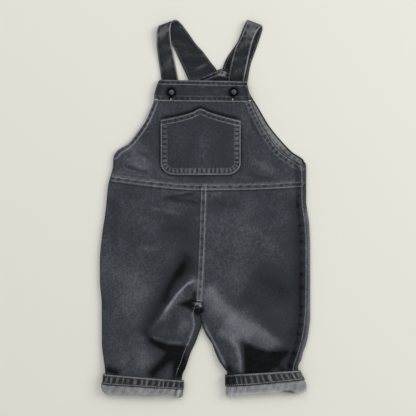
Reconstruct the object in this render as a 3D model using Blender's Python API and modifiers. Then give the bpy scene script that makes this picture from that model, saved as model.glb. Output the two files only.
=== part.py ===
"""Small child's denim overalls, laid flat on their back with the legs straight down.

Metres, +Z up. +Y runs from the leg ends to the shoulders, +X is the wearer's left. The origin is
under the middle of the garment, on the surface that it lies on. All sizes are in millimetres, and
scaled to metres where a mesh is made.
"""
import bisect
import math
from collections import namedtuple

import bmesh
import bpy

MM = 0.001
WALL = 1.2
STRAP_WALL = 2.2
SEAM_GAP = 0.3
LAYER = WALL + SEAM_GAP
SEAM_STEP = 0.9
INSEAM_GAP = 0.5
BEND_ROOM = 14.0
NARROW_BEND_ROOM = 5.5

WAIST_Y = 38.0
BIB_TOP_Y = 198.5
CROTCH_Y = -149.0
CROTCH_CLOSE = 8.0
LEG_END_Y = -278.0
HEM_TOP_Y = -262.0
HEM_BOTTOM_Y = -277.0
TURN_Y = -293.0

TOP_HEIGHT = 5.0
BIB_LOWER_BY = 0.4
STRAP_RISE = 4.0
CUFF_TOP_RISE = 3.2
CUFF_FLOOR_RISE = 3.6
CUFF_DROP = 1.5
PUFF = 3.0
LEAST_CLEARANCE = 2.0
EDGE_FADE = 12.0
ROLL_OFFSET = 2.5
BELLY_START_Y = 20.0
BELLY_END_Y = 70.0
PARTING_Y = -110.0
PARTING_LENGTH = 60.0
CALM_START_Y = -246.0
CALM_LENGTH = 14.0
CALM_SHARE = 0.75
CUFF_RISE_Y = -225.0
CUFF_RISE_LENGTH = 37.0
CUFF_DROP_Y = -280.0
CUFF_DROP_LENGTH = 12.0
TOP_RISE_Y = -215.0
TOP_RISE_LENGTH = 45.0
STRAP_RISE_X = -60.0
STRAP_RISE_WIDTH = 85.0
STRAP_RISE_Y = 95.0
BIB_SLOPE_Y = 60.0
BIB_SLOPE_LENGTH = 60.0
WAIST_REACH = 45.0
ARMHOLE_RIGHT_Y = 76.0
ARMHOLE_RIGHT_LENGTH = 12.0
ARMHOLE_LEFT_Y = 64.0
ARMHOLE_LEFT_LENGTH = 10.0
HIDDEN_SIDE_TOP_Y = 92.0
BIB_TOP_RISE = 3.6
BIB_TOP_TILT = 0.024
BIB_TOP_LEFT_X = -74.0
BIB_TOP_START_Y = 140.0
BIB_TOP_LENGTH = 50.0
ROOF_START_Y = 150.0
ROOF_LENGTH = 48.0
BAND_BOTTOM_Y = 170.5
BAND_OVERHANG = 0.9
STRAP_SEWN_HEIGHT = {"right": 2.6, "left": 6.7}
FACING_LOW_X = -22.0
FACING_HIGH_X = 66.0
FACING_BOTTOM_Y = 178.0
FACING_INSET = 0.6
MERGE_DISTANCE = 0.01

SIDE_WRAP_LEFT = 8.5
SIDE_WRAP_RIGHT = 8.0
CUFF_LIFT = 2.0
HEM_LIFT = 3.6

BUTTON_RADIUS = 7.5
BUTTON_Y = 182.5
BUTTON_X = {"left": 44.9, "right": -52.8}
SHANK_RADIUS = 1.5
SLOT_WIDTH = 3.6
SLOT_LENGTH = 13.0
SLOT_DEPTH = 20.0
SLOT_HEIGHT = 8.0
SLOT_ABOVE = 2.5
BUTTON_STEPS = 20
BUTTON_EASE = 0.1

Edge = namedtuple("Edge", "y x")
Line = namedtuple("Line", "x y")
Fold = namedtuple("Fold", "x0 y0 x1 y1 height width")
Ruling = namedtuple("Ruling", "left_x left_y right_x right_y height")
Turn = namedtuple("Turn", "level lift")

# Centre front and back seam, and below the crotch the line where the two legs part
CENTRE_EDGE = (
    Edge(-183.5, -4.6), Edge(-170, -7.0), Edge(CROTCH_Y, -10.0), Edge(-116, -7.9), Edge(-62, -5.4),
    Edge(-12, -3.8), Edge(26, -2.4), Edge(51, -2.0),
)
OUTER_EDGE = {
    "right": (
        Edge(-300, -160.9), Edge(-281, -160.9), Edge(-272, -157.2), Edge(-262, -156.8),
        Edge(-251, -157.5), Edge(-239, -159.1), Edge(-213, -162.2), Edge(-149, -162.6),
        Edge(-112, -165.4), Edge(-84, -165.4), Edge(-43, -162.2), Edge(-12, -157.5),
        Edge(13, -154.4), Edge(26, -152.8), Edge(39, -149.6), Edge(51, -146.5), Edge(64, -144.9),
        Edge(76, -144.4), Edge(83, -143.3), Edge(89, -141.8), Edge(95.3, -133.9),
        Edge(101.6, -122.9), Edge(114, -111.8), Edge(127, -102.4), Edge(139.4, -94.5),
        Edge(158, -86.4), Edge(171, -81.2), Edge(185, -76.8), Edge(193, -74.2), Edge(196.5, -72.4),
        Edge(200, -69.5),
    ),
    "left": (
        Edge(-300, 157.1), Edge(-287, 157.1), Edge(-275, 152.4), Edge(-268, 148.6),
        Edge(-262, 146.8), Edge(-251, 146.5), Edge(-239, 151.2), Edge(-226, 154.4),
        Edge(-213, 159.1), Edge(-188, 163.8), Edge(-170, 165.4), Edge(-62, 165.4),
        Edge(-24, 163.8), Edge(13, 159.1), Edge(64, 159.1), Edge(70, 158.3), Edge(76, 156.4),
        Edge(89, 138.3), Edge(108, 120.0), Edge(129, 103.0), Edge(155, 87.4), Edge(193, 67.7),
        Edge(200, 67.0),
    ),
}
INNER_EDGE = {
    "right": (
        Edge(-300, -36.4), Edge(-262, -36.2), Edge(-257, -35.2), Edge(-249, -31.0),
        Edge(-239, -26.8), Edge(-226, -22.0), Edge(-213, -15.8), Edge(-201, -11.0),
        Edge(-188, -6.3), Edge(-183.5, -4.6),
    ),
    "left": (
        Edge(-300, 35.0), Edge(-262, 34.8), Edge(-256, 34.6), Edge(-249, 29.4), Edge(-239, 22.0),
        Edge(-226, 15.8), Edge(-213, 11.0), Edge(-201, 3.2), Edge(-188, -3.2), Edge(-183.5, -4.6),
    ),
}
# How far the back panel of the wearer's right leg comes round onto the front at the inseam
INSEAM_WRAP_RIGHT = (
    Edge(-300, 8.0), Edge(-264, 8.0), Edge(-242, 8.8), Edge(-215, 10.0), Edge(-157, 11.5),
)
# The front bib's edge on the wearer's left: the side seam, then the armhole
FRONT_BIB_LEFT_EDGE = (
    Edge(38, 150.15), Edge(66, 150.1), Edge(68.5, 149.0), Edge(76, 137.0), Edge(89, 118.8),
    Edge(111, 101.7), Edge(135, 87.4), Edge(166, 73.1), Edge(193, 65.4), Edge(200, 64.6),
)
# The back bib's edge on the wearer's right, hidden under the front bib
BACK_BIB_RIGHT_EDGE = (
    Edge(38, -139.5), Edge(64, -136.6), Edge(76, -134.5), Edge(89, -117.0), Edge(108, -95.0),
    Edge(129, -76.0), Edge(155, -56.0), Edge(182, -38.0), Edge(200, -24.0),
)
WAIST_LINE = (Line(-146, 47.0), Line(-95, 40.0), Line(-8, 33.0), Line(80, 34.0), Line(151, 38.0))
ROOF_LINE = (Line(-24, 198.5), Line(24.4, 219.5), Line(70, 198.5))
HEM_TOP_LINE = {
    "right": (Line(-160, -260.0), Line(-36, -270.3)),
    "left": (Line(32, -261.3), Line(150, -254.2)),
}
HEM_BOTTOM_LINE = {
    "right": (Line(-162, -275.2), Line(-35, -283.0)),
    "left": (Line(32, -278.2), Line(56, -277.2), Line(154, -268.2)),
}
TURN_LINE = {
    "right": (
        Line(-163, -282.0), Line(-160, -287.0), Line(-153, -291.5), Line(-106, -292.8),
        Line(-74, -294.0), Line(-58, -290.8), Line(-43, -296.9), Line(-35, -296.0),
    ),
    "left": (
        Line(32, -295.8), Line(54, -293.0), Line(103, -289.3), Line(120, -288.8), Line(140, -291.5),
        Line(159, -287.6),
    ),
}
POCKET_TOP_LINE = (
    Line(-70.9, 138.4), Line(-40, 144.6), Line(-20, 150.3), Line(-7.1, 156.2), Line(6, 150.6),
    Line(27, 144.0), Line(56.7, 136.7),
)
POCKET_BOTTOM_Y = 53.0
POCKET_CORNER = 22.0
POCKET_LEFT_X = 56.0
POCKET_RIGHT_X = -69.5
POCKET_CROWDING = 0.6
POCKET_CORNER_SHARE = 0.85
POCKET_EASE = 0.1

FOLDS = (
    Fold(-35, -57, -63, -105, -2.2, 13),
    Fold(-63, -105, -94, -176, -2.6, 12),
    Fold(-14, -114, -39, -136, 4.5, 7),
    Fold(-39, -136, -63, -168, 6.0, 7),
    Fold(-63, -168, -86, -194, 5.0, 8),
    Fold(-40, -176, -28, -198, 4.5, 15),
    Fold(-91, -201, -71, -215, -2.6, 8),
    Fold(-71, -215, -27, -223, -3.4, 8),
    Fold(-32, -230, -86, -262, -2.8, 9),
    Fold(-92, -243, -118, -236, 2.2, 14),
    Fold(-18, -154, -20, -160, -2.0, 6),
    Fold(-3, -120, 60, -165, 4.5, 15),
    Fold(60, -165, 122, -213, 6.5, 16),
    Fold(63, -227, 116, -232, -4.0, 13),
    Fold(66, -244, 100, -246, -3.0, 12),
    Fold(54, -214, 57, -262, 3.0, 7),
    Fold(145, 29, 145, -34, -1.0, 8),
    Fold(-47, 21, -8, 24, 1.2, 6),
    Fold(-63, 10, -8, 5, -1.0, 7),
    Fold(-112, 84, -70, 62, 1.0, 8),
    Fold(-96, 96, -84, 60, -0.8, 7),
)

STRAP_RULINGS = {
    "right": (
        Ruling(-21.5, 195.5, 20.0, 210.5, 2.6), Ruling(-24.4, 200.8, 18.0, 217.0, 2.6),
        Ruling(-33.1, 219.7, 7.9, 230.7, 1.3), Ruling(-41.7, 238.6, -2.4, 244.9, 1.1),
        Ruling(-52.0, 259.1, -15.0, 259.1, 1.1), Ruling(-62.5, 271.7, -28.4, 278.0, 1.2),
        Ruling(-68.8, 281.0, -38.5, 291.0, 1.6), Ruling(-71.0, 286.6, -45.6, 295.9, 4.2),
        Ruling(-73.6, 283.4, -53.0, 291.8, 6.6), Ruling(-75.6, 273.5, -55.2, 278.0, 6.2),
        Ruling(-75.4, 257.5, -53.6, 259.1, 4.4), Ruling(-73.2, 238.6, -49.5, 239.4, 2.2),
        Ruling(-70.4, 219.7, -45.7, 219.7, 1.6), Ruling(-67.7, 200.8, -42.5, 200.8, 2.6),
        Ruling(-65.4, 164.6, -39.4, 164.6, 2.6),
    ),
    "left": (
        Ruling(28.5, 211.5, 65.5, 195.5, 2.6), Ruling(28.0, 217.5, 66.6, 201.5, 2.6),
        Ruling(33.1, 233.1, 70.5, 224.4, 1.3), Ruling(42.5, 248.1, 76.2, 241.8, 1.1),
        Ruling(52.0, 262.2, 82.6, 259.1, 1.1), Ruling(59.0, 279.6, 87.4, 274.0, 1.2),
        Ruling(63.4, 290.0, 89.8, 282.9, 1.6), Ruling(66.4, 296.0, 89.2, 287.2, 4.2),
        Ruling(66.0, 291.6, 85.0, 283.6, 6.6), Ruling(61.8, 280.0, 78.4, 273.4, 6.2),
        Ruling(55.0, 265.4, 73.6, 261.0, 4.6), Ruling(48.8, 252.8, 70.2, 248.0, 4.0),
        Ruling(43.0, 232.7, 66.4, 229.6, 4.8), Ruling(38.9, 213.8, 62.6, 211.8, 6.7),
        Ruling(37.2, 201.8, 60.4, 200.8, 6.7), Ruling(35.4, 164.6, 58.6, 164.6, 6.7),
    ),
}
# The cuff's profile: level 0 is the hem strip's top, 1 its bottom, 2 the turned edge
CUFF_PROFILE = (
    Turn(0.06, CUFF_LIFT), Turn(0.5, CUFF_LIFT), Turn(1.0, CUFF_LIFT), Turn(1.45, 2.4),
    Turn(1.9, 1.9), Turn(2.0, 1.0),
    Turn(1.9, 0.0), Turn(1.5, 0.0), Turn(1.135, 0.0),
)
LEG_END_LEVEL = 1.1

SIDE_SIGN = {"left": 1.0, "right": -1.0}


def smooth(value):
    """Eases from 0 to 1 as value goes from 0 to 1, and stays there beyond."""
    part = min(max(value, 0.0), 1.0)
    return part * part * (3.0 - 2.0 * part)


def mix(first, second, part):
    return first + (second - first) * part


def knot_slope(keys, values, index):
    """Slope of the curve at one row: none at a turning point, else the steadier mean."""
    last = len(keys) - 1
    before = max(index - 1, 0)
    after = min(index + 1, last)
    if index in (0, last):
        return (values[after] - values[before]) / (keys[after] - keys[before])
    rise_in = (values[index] - values[before]) / (keys[index] - keys[before])
    rise_out = (values[after] - values[index]) / (keys[after] - keys[index])
    if rise_in * rise_out <= 0.0:
        return 0.0
    return 2.0 * rise_in * rise_out / (rise_in + rise_out)


def through(rows, key):
    """Second column at a first-column value, on a smooth curve that never overshoots its rows."""
    keys = [row[0] for row in rows]
    values = [row[1] for row in rows]
    if key <= keys[0]:
        return values[0]
    if key >= keys[-1]:
        return values[-1]
    index = bisect.bisect_right(keys, key) - 1
    span = keys[index + 1] - keys[index]
    part = (key - keys[index]) / span
    start = knot_slope(keys, values, index) * span
    end = knot_slope(keys, values, index + 1) * span
    square = part * part
    cube = square * part
    return (
        (2 * cube - 3 * square + 1) * values[index]
        + (cube - 2 * square + part) * start
        + (3 * square - 2 * cube) * values[index + 1]
        + (cube - square) * end
    )


def spread(stops, counts):
    """Values from the first stop to the last, with a count of even steps between each two."""
    values = [stops[0]]
    for start, end, count in zip(stops, stops[1:], counts):
        values += [mix(start, end, step / count) for step in range(1, count + 1)]
    return values


def centre_x(y):
    return through(CENTRE_EDGE, y)


def inner_x(leg, y):
    """Inner edge of a leg: the centre seam above the place where the legs part."""
    if y >= CENTRE_EDGE[0].y:
        return centre_x(y)
    return through(INNER_EDGE[leg], y)


def outer_x(leg, y):
    return through(OUTER_EDGE[leg], y)


def floor_height(y):
    """Height of the lower layer's middle: on the ground, but lifted onto the cuff's own layers."""
    lifted = CUFF_FLOOR_RISE * smooth((CUFF_RISE_Y - y) / CUFF_RISE_LENGTH)
    settled = CUFF_DROP * smooth((CUFF_DROP_Y - y) / CUFF_DROP_LENGTH)
    return WALL / 2 + lifted - settled


def dome(x, low, high):
    """1 across most of a width, falling to 0 at its two edges."""
    across = (2.0 * x - low - high) / (high - low)
    return max(0.0, 1.0 - across ** 4)


def fold_relief(x, y):
    """Rise or fall of the cloth from the folds near a place, held flatter inside the cuff."""
    highest = 0.0
    deepest = 0.0
    for fold in FOLDS:
        along_x = fold.x1 - fold.x0
        along_y = fold.y1 - fold.y0
        length = along_x * along_x + along_y * along_y
        part = ((x - fold.x0) * along_x + (y - fold.y0) * along_y) / length
        part = min(max(part, 0.0), 1.0)
        distance = math.hypot(x - fold.x0 - part * along_x, y - fold.y0 - part * along_y)
        change = fold.height * math.exp(-((distance / fold.width) ** 2))
        highest = max(highest, change)
        deepest = min(deepest, change)
    calmed = 1.0 - CALM_SHARE * smooth((CALM_START_Y - y) / CALM_LENGTH)
    return calmed * (highest + deepest)


def top_height(x, y):
    """Height of the upper layer's middle, over the whole front."""
    leg = "left" if x > inner_x("left", y) else "right"
    leg_low, leg_high = sorted((outer_x(leg, y), inner_x(leg, y)))
    low = outer_x("right", y)
    high = outer_x("left", y)
    parted = smooth((PARTING_Y - y) / PARTING_LENGTH)
    puffed = mix(dome(x, low, high), dome(x, leg_low, leg_high), parted)
    puff = PUFF * puffed * (1.0 - smooth((y - BELLY_START_Y) / (BELLY_END_Y - BELLY_START_Y)))
    to_side = min(x - low, high - x)
    to_leg_side = min(x - leg_low, leg_high - x)
    fade = mix(smooth(to_side / EDGE_FADE), smooth(to_leg_side / EDGE_FADE), parted)
    over_cuff = CUFF_TOP_RISE * smooth((TOP_RISE_Y - y) / TOP_RISE_LENGTH)
    over_strap = smooth((x - STRAP_RISE_X) / STRAP_RISE_WIDTH) * smooth((y - STRAP_RISE_Y) / 60.0)
    bib_lower = BIB_LOWER_BY * smooth((y - BIB_SLOPE_Y) / BIB_SLOPE_LENGTH)
    height = TOP_HEIGHT - bib_lower + over_cuff + STRAP_RISE * over_strap
    height += puff + fade * fold_relief(x, y)
    return max(height, floor_height(y) + LEAST_CLEARANCE)


class Tube:
    """Section of one leg, or of its half of the body, across the garment at one y.

    A place on it is a length: from 0 at the top of the outer edge inwards over the top, then down
    round the inner edge and back along the ground, and negative the other way round.
    """

    def __init__(self, leg, y, lift=0.0):
        self.sign = SIDE_SIGN[leg]
        self.y = y
        self.lift = lift
        self.closed = smooth((CROTCH_Y - y) / CROTCH_CLOSE)
        self.outer = outer_x(leg, y) - self.sign * (WALL / 2 - lift)
        inset = SEAM_GAP / 2 + self.closed * WALL / 2 - lift
        self.inner = inner_x(leg, y) + self.sign * inset
        self.floor = floor_height(y) - lift
        self.outer_round = self.round_at(self.outer - self.sign * ROLL_OFFSET)
        self.inner_round = self.round_at(self.inner + self.sign * ROLL_OFFSET * self.closed)
        width = abs(self.outer - self.inner)
        self.top = width - self.outer_round - self.closed * self.inner_round
        self.inner_turn = math.pi * self.inner_round
        self.outer_turn = math.pi * self.outer_round
        self.round_trip = 2.0 * self.top + self.inner_turn + self.outer_turn

    def round_at(self, x):
        return (top_height(x, self.y) + self.lift - self.floor) / 2

    def place(self, length):
        """Returns x and z at a length round the section."""
        if length < -self.outer_turn:
            beyond = -length - self.outer_turn
            return self.outer - self.sign * (self.outer_round + beyond), self.floor
        if length < 0.0:
            angle = -length / self.outer_round
            x = self.outer - self.sign * self.outer_round * (1.0 - math.sin(angle))
            return x, self.floor + self.outer_round * (1.0 + math.cos(angle))
        if length <= self.top:
            x = self.outer - self.sign * (self.outer_round + length)
            return x, top_height(x, self.y) + self.lift
        beyond = length - self.top
        if beyond < self.inner_turn:
            angle = beyond / self.inner_round
            side = self.closed * self.inner_round * (1.0 - math.sin(angle))
            return self.inner + self.sign * side, self.floor + self.inner_round * (1.0 + math.cos(angle))
        if beyond <= self.inner_turn + self.top:
            side = self.closed * self.inner_round + beyond - self.inner_turn
            return self.inner + self.sign * side, self.floor
        return self.place(length - self.round_trip)


def waist_shift(x, y):
    """The waist seam isn't level: rows near it follow its line."""
    nearness = 1.0 - smooth(abs(y - WAIST_Y) / WAIST_REACH)
    return (through(WAIST_LINE, x) - WAIST_Y) * nearness


def cuff_y(leg, x, level):
    """y of a level of the cuff: 0 the hem strip's top, 1 its bottom, 2 the turned edge."""
    bottom = through(HEM_BOTTOM_LINE[leg], x)
    if level <= 1.0:
        return mix(through(HEM_TOP_LINE[leg], x), bottom, level)
    return mix(bottom, through(TURN_LINE[leg], x) + WALL / 2, level - 1.0)


def cuff_section_y(level):
    if level <= 1.0:
        return mix(HEM_TOP_Y, HEM_BOTTOM_Y, level)
    return mix(HEM_BOTTOM_Y, TURN_Y, level - 1.0)


def leg_rows():
    return spread((WAIST_Y, -95.0, -145.0, -157.0, LEG_END_Y), (7, 5, 4, 12))


def leg_point(leg, tube, length):
    x, z = tube.place(length)
    near_end = smooth((CUFF_RISE_Y - tube.y) / (CUFF_RISE_Y - LEG_END_Y))
    end_shift = cuff_y(leg, x, LEG_END_LEVEL) - LEG_END_Y
    y = tube.y + waist_shift(x, tube.y) + end_shift * near_end
    if tube.y == WAIST_Y:
        y -= SEAM_GAP / 2
    return (x, y, z)


def outer_seam(leg, tube):
    """Length at the side seam: under the wearer's right side, and on top at the left one."""
    if leg == "right":
        return -tube.outer_turn - SIDE_WRAP_RIGHT
    return SIDE_WRAP_LEFT - tube.outer_round


def inner_seam(leg, tube):
    """Lengths of the front panel's and the back panel's inner edges."""
    apart = tube.top + tube.inner_turn
    if leg == "right":
        wrap = tube.closed * (through(INSEAM_WRAP_RIGHT, tube.y) - tube.inner_round)
        return tube.top - wrap, mix(apart, tube.top - wrap, tube.closed)
    middle = tube.top + tube.inner_turn / 2
    slack = tube.closed * (INSEAM_GAP - SEAM_GAP) / 2
    return mix(tube.top, middle, tube.closed) - slack, mix(apart, middle, tube.closed) + slack


def front_leg_lengths(leg, tube):
    start = outer_seam(leg, tube) + SEAM_GAP / 2
    end = inner_seam(leg, tube)[0] - SEAM_GAP / 2
    if leg == "right":
        return spread((start, -tube.outer_turn, 0.0, end), (1, 5, 13))
    return spread((start, min(tube.top, end - NARROW_BEND_ROOM), end - SEAM_STEP, end), (13, 3, 1))


def back_leg_lengths(leg, tube):
    start = inner_seam(leg, tube)[1] + SEAM_GAP / 2
    end = outer_seam(leg, tube) + tube.round_trip - SEAM_GAP / 2
    ground = tube.top + tube.inner_turn
    if leg == "right":
        return spread((start, max(ground, start + BEND_ROOM), end), (6, 6))
    outer_ground = ground + tube.top
    bent = (start, start + SEAM_STEP, max(ground, start + NARROW_BEND_ROOM))
    return spread(bent + (outer_ground, outer_ground + tube.outer_turn, end), (1, 3, 4, 5, 2))


def leg_panel(leg, lengths_of):
    rows = []
    for y in leg_rows():
        tube = Tube(leg, y)
        rows.append([leg_point(leg, tube, length) for length in lengths_of(leg, tube)])
    return rows


def bib_rows():
    return spread((WAIST_Y, 62.0, 98.0, 134.0, 184.0, BIB_TOP_Y), (2, 8, 4, 4, 4))


def bib_top_shift(x, y):
    """The bib's top edge drops slightly towards the wearer's left."""
    rise = BIB_TOP_RISE - BIB_TOP_TILT * (x - BIB_TOP_LEFT_X)
    return rise * smooth((y - BIB_TOP_START_Y) / BIB_TOP_LENGTH)


def front_bib_panel():
    """Front bib: rolled under at the wearer's right side, up to the side seam at the left one."""
    rows = []
    for y in bib_rows():
        tube = Tube("right", y)
        rolled = 1.0 - smooth((y - ARMHOLE_RIGHT_Y) / ARMHOLE_RIGHT_LENGTH)
        start = -rolled * (tube.outer_turn + SIDE_WRAP_RIGHT - SEAM_GAP / 2)
        left_edge = through(FRONT_BIB_LEFT_EDGE, y) - SEAM_GAP
        end = left_edge - tube.outer - tube.outer_round
        bend = min(0.0, start + BEND_ROOM) if rolled > 0.5 else start + BEND_ROOM
        points = []
        for length in spread((start, bend, end), (6, 14)):
            x, z = bib_section(tube, length)
            shifted = y + waist_shift(x, y) + bib_top_shift(x, y)
            if y == WAIST_Y:
                shifted += SEAM_GAP / 2
            points.append((x, shifted, z))
        rows.append(points)
    return rows


def bib_section(tube, length):
    """Like a tube's place, but the top goes on past the centre over the whole bib."""
    if length <= 0.0:
        return tube.place(length)
    x = tube.outer + tube.outer_round + length
    return x, top_height(x, tube.y)


def roof_rise(x, y):
    """Rise of the back bib's roof-shaped top over the level of its ends."""
    low = ROOF_LINE[0]
    peak = ROOF_LINE[1]
    high = ROOF_LINE[2]
    part = (x - low.x) / (peak.x - low.x) if x < peak.x else (high.x - x) / (high.x - peak.x)
    return (peak.y - low.y) * min(max(part, 0.0), 1.0) * smooth((y - ROOF_START_Y) / ROOF_LENGTH)


def back_bib_panel():
    """Back bib: flat on the ground, and rolled up onto the front at the wearer's left side."""
    rows = []
    for y in bib_rows():
        tube = Tube("left", y)
        rolled = 1.0 - smooth((y - ARMHOLE_LEFT_Y) / ARMHOLE_LEFT_LENGTH)
        right_edge = through(BACK_BIB_RIGHT_EDGE, y)
        if y < HIDDEN_SIDE_TOP_Y:
            right_tube = Tube("right", y)
            rolled_under = right_tube.outer + right_tube.outer_round + SIDE_WRAP_RIGHT + SEAM_GAP / 2
            right_edge = max(right_edge, rolled_under)
        start = tube.outer - tube.outer_round - right_edge
        wrapped = tube.outer_turn + SIDE_WRAP_LEFT - tube.outer_round - SEAM_GAP / 2
        end = -rolled * wrapped - (1.0 - rolled) * (WALL / 2 - tube.outer_round)
        bend = max(0.0, end + BEND_ROOM) if rolled > 0.5 else end + BEND_ROOM
        points = []
        for length in spread((start, bend, end), (9, 6)):
            x, z = back_bib_section(tube, length)
            shifted = y + waist_shift(x, y) + roof_rise(x, y)
            if y == WAIST_Y:
                shifted += SEAM_GAP / 2
            points.append((x, shifted, z))
        rows.append(points)
    return rows


def back_bib_section(tube, length):
    """Length from the ground side of the outer roll: positive on the ground, negative round it."""
    if length >= 0.0:
        return tube.outer - tube.outer_round - length, tube.floor
    return tube.place(-tube.outer_turn - length)


def facing_panel():
    """Strip inside the back bib's top, over the strap ends."""
    rows = []
    height = STRAP_SEWN_HEIGHT["right"] + STRAP_WALL / 2 + SEAM_GAP + WALL / 2
    for y in spread((FACING_BOTTOM_Y, BIB_TOP_Y), (2,)):
        points = []
        for x in spread((FACING_LOW_X, ROOF_LINE[1].x, FACING_HIGH_X), (5, 5)):
            points.append((x, y + roof_rise(x, BIB_TOP_Y) - FACING_INSET, height))
        rows.append(points)
    return rows


def band_panel():
    """Band along the bib's top, moved out from the bib's own surface."""
    rows = []
    for y in spread((BAND_BOTTOM_Y, 184.0, BIB_TOP_Y), (2, 4)):
        low = outer_x("right", y)
        high = through(FRONT_BIB_LEFT_EDGE, y) + BAND_OVERHANG
        points = []
        for x in spread((low, high), (16,)):
            points.append((x, y + bib_top_shift(x, y), top_height(x, y) + LAYER))
        rows.append(points)
    return rows


def pocket_panel():
    """Patch pocket: pointed top, rounded lower corners."""
    columns = 14
    levels = 8
    rows = []
    middle = (POCKET_LEFT_X + POCKET_RIGHT_X) / 2
    half = (POCKET_LEFT_X - POCKET_RIGHT_X) / 2
    for row in range(levels + 1):
        points = []
        for column in range(columns + 1):
            swing = math.sin((column / columns - 0.5) * math.pi)
            across = mix(2.0 * column / columns - 1.0, swing, POCKET_CROWDING)
            x = middle + half * across
            into_corner = max(0.0, POCKET_CORNER - (half - abs(x - middle)))
            rise = POCKET_CORNER - math.sqrt(max(POCKET_CORNER ** 2 - into_corner ** 2, 0.0))
            bottom = POCKET_BOTTOM_Y + rise * POCKET_CORNER_SHARE
            y = mix(bottom, through(POCKET_TOP_LINE, x), row / levels)
            points.append((x, y, top_height(x, y) + LAYER + POCKET_EASE))
        rows.append(points)
    return rows


def strap_rows(leg):
    """Rows across a strap, on smooth curves through its rulings."""
    rulings = STRAP_RULINGS[leg]
    columns = [list(enumerate(values)) for values in zip(*rulings)]
    rows = []
    steps = 2 * (len(rulings) - 1)
    for step in range(steps + 1):
        left_x, left_y, right_x, right_y, height = (through(column, step / 2) for column in columns)
        row = []
        for part in spread((0.0, 1.0), (3,)):
            row.append((mix(left_x, right_x, part), mix(left_y, right_y, part), height))
        rows.append(row)
    return rows


def ring_lengths(tube):
    ground = tube.top + tube.inner_turn
    stops = (0.0, tube.top, ground, ground + tube.top, tube.round_trip)
    return spread(stops, (13, 4, 10, 4))


def cuff_ring(leg, profile):
    """Rows round a leg end, one for each turn of the profile."""
    rows = []
    for turn in profile:
        tube = Tube(leg, cuff_section_y(turn.level), turn.lift)
        points = []
        for length in ring_lengths(tube):
            x, z = tube.place(length)
            points.append((x, cuff_y(leg, x, turn.level), z))
        rows.append(points)
    return rows


def finish(name, colour, roughness, metallic=0.0):
    material = bpy.data.materials.new(name)
    material.use_nodes = True
    shader = material.node_tree.nodes["Principled BSDF"]
    shader.inputs["Base Color"].default_value = (*colour, 1.0)
    shader.inputs["Roughness"].default_value = roughness
    shader.inputs["Metallic"].default_value = metallic
    return material


def add_object(name, mesh, material, collection):
    mesh.materials.append(material)
    made = bpy.data.objects.new(name, mesh)
    collection.objects.link(made)
    return made


def add_sheet(name, rows, wall, material, collection):
    """An open grid moved onto rows of points, and thickened both ways."""
    columns = len(rows[0])
    form = bmesh.new()
    bmesh.ops.create_grid(form, x_segments=columns - 1, y_segments=len(rows) - 1, size=1.0)
    for vert in form.verts:
        column = round((vert.co.x + 1.0) / 2.0 * (columns - 1))
        row = round((vert.co.y + 1.0) / 2.0 * (len(rows) - 1))
        vert.co = [MM * value for value in rows[row][column]]
    bmesh.ops.remove_doubles(form, verts=form.verts, dist=MERGE_DISTANCE * MM)
    mesh = bpy.data.meshes.new(name)
    form.to_mesh(mesh)
    form.free()
    mesh.shade_smooth()
    made = add_object(name, mesh, material, collection)
    thicken = made.modifiers.new("wall", "SOLIDIFY")
    thicken.thickness = wall * MM
    thicken.offset = 0.0
    return made


def add_slot_cutter(name, x, collection):
    """Box that cuts a buttonhole through the band and the bib."""
    form = bmesh.new()
    bmesh.ops.create_cube(form, size=1.0)
    for vert in form.verts:
        vert.co.x *= SLOT_WIDTH * MM
        vert.co.y *= SLOT_LENGTH * MM
        vert.co.z *= SLOT_DEPTH * MM
    mesh = bpy.data.meshes.new(name)
    form.to_mesh(mesh)
    form.free()
    cutter = bpy.data.objects.new(name, mesh)
    collection.objects.link(cutter)
    cutter.location = (x * MM, (BUTTON_Y - SLOT_LENGTH / 2 + SLOT_ABOVE) * MM, SLOT_HEIGHT * MM)
    cutter.hide_render = True
    cutter.display_type = "WIRE"
    return cutter


def cut_slots(target, cutters):
    for cutter in cutters:
        cut = target.modifiers.new("buttonhole", "BOOLEAN")
        cut.operation = "DIFFERENCE"
        cut.solver = "EXACT"
        cut.object = cutter


def add_button(side, material, collection):
    """Turned button: dished face with a rolled rim, on a shank through the buttonhole."""
    x = BUTTON_X[side]
    inner_reach = x + BUTTON_RADIUS
    seat = top_height(inner_reach, BUTTON_Y) + LAYER + WALL / 2 + SEAM_GAP + BUTTON_EASE
    strap_top = STRAP_SEWN_HEIGHT[side] + STRAP_WALL / 2
    shank_foot = strap_top + SEAM_GAP - seat
    profile = (
        (0.0, 1.3), (3.6, 1.4), (4.4, 1.9), (5.2, 2.5), (6.2, 2.7), (7.1, 2.3), (BUTTON_RADIUS, 1.4),
        (7.1, 0.4), (6.0, 0.0), (SHANK_RADIUS, 0.0), (SHANK_RADIUS, shank_foot), (0.0, shank_foot),
    )
    form = bmesh.new()
    verts = [form.verts.new((radius * MM, 0.0, height * MM)) for radius, height in profile]
    for first, second in zip(verts, verts[1:]):
        form.edges.new((first, second))
    mesh = bpy.data.meshes.new(f"button_{side}")
    form.to_mesh(mesh)
    form.free()
    made = add_object(f"button_{side}", mesh, material, collection)
    made.location = (x * MM, BUTTON_Y * MM, seat * MM)
    turn = made.modifiers.new("turned", "SCREW")
    turn.steps = BUTTON_STEPS
    turn.render_steps = BUTTON_STEPS
    turn.use_merge_vertices = True
    turn.merge_threshold = MERGE_DISTANCE * MM
    turn.use_smooth_shade = True
    return made


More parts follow.
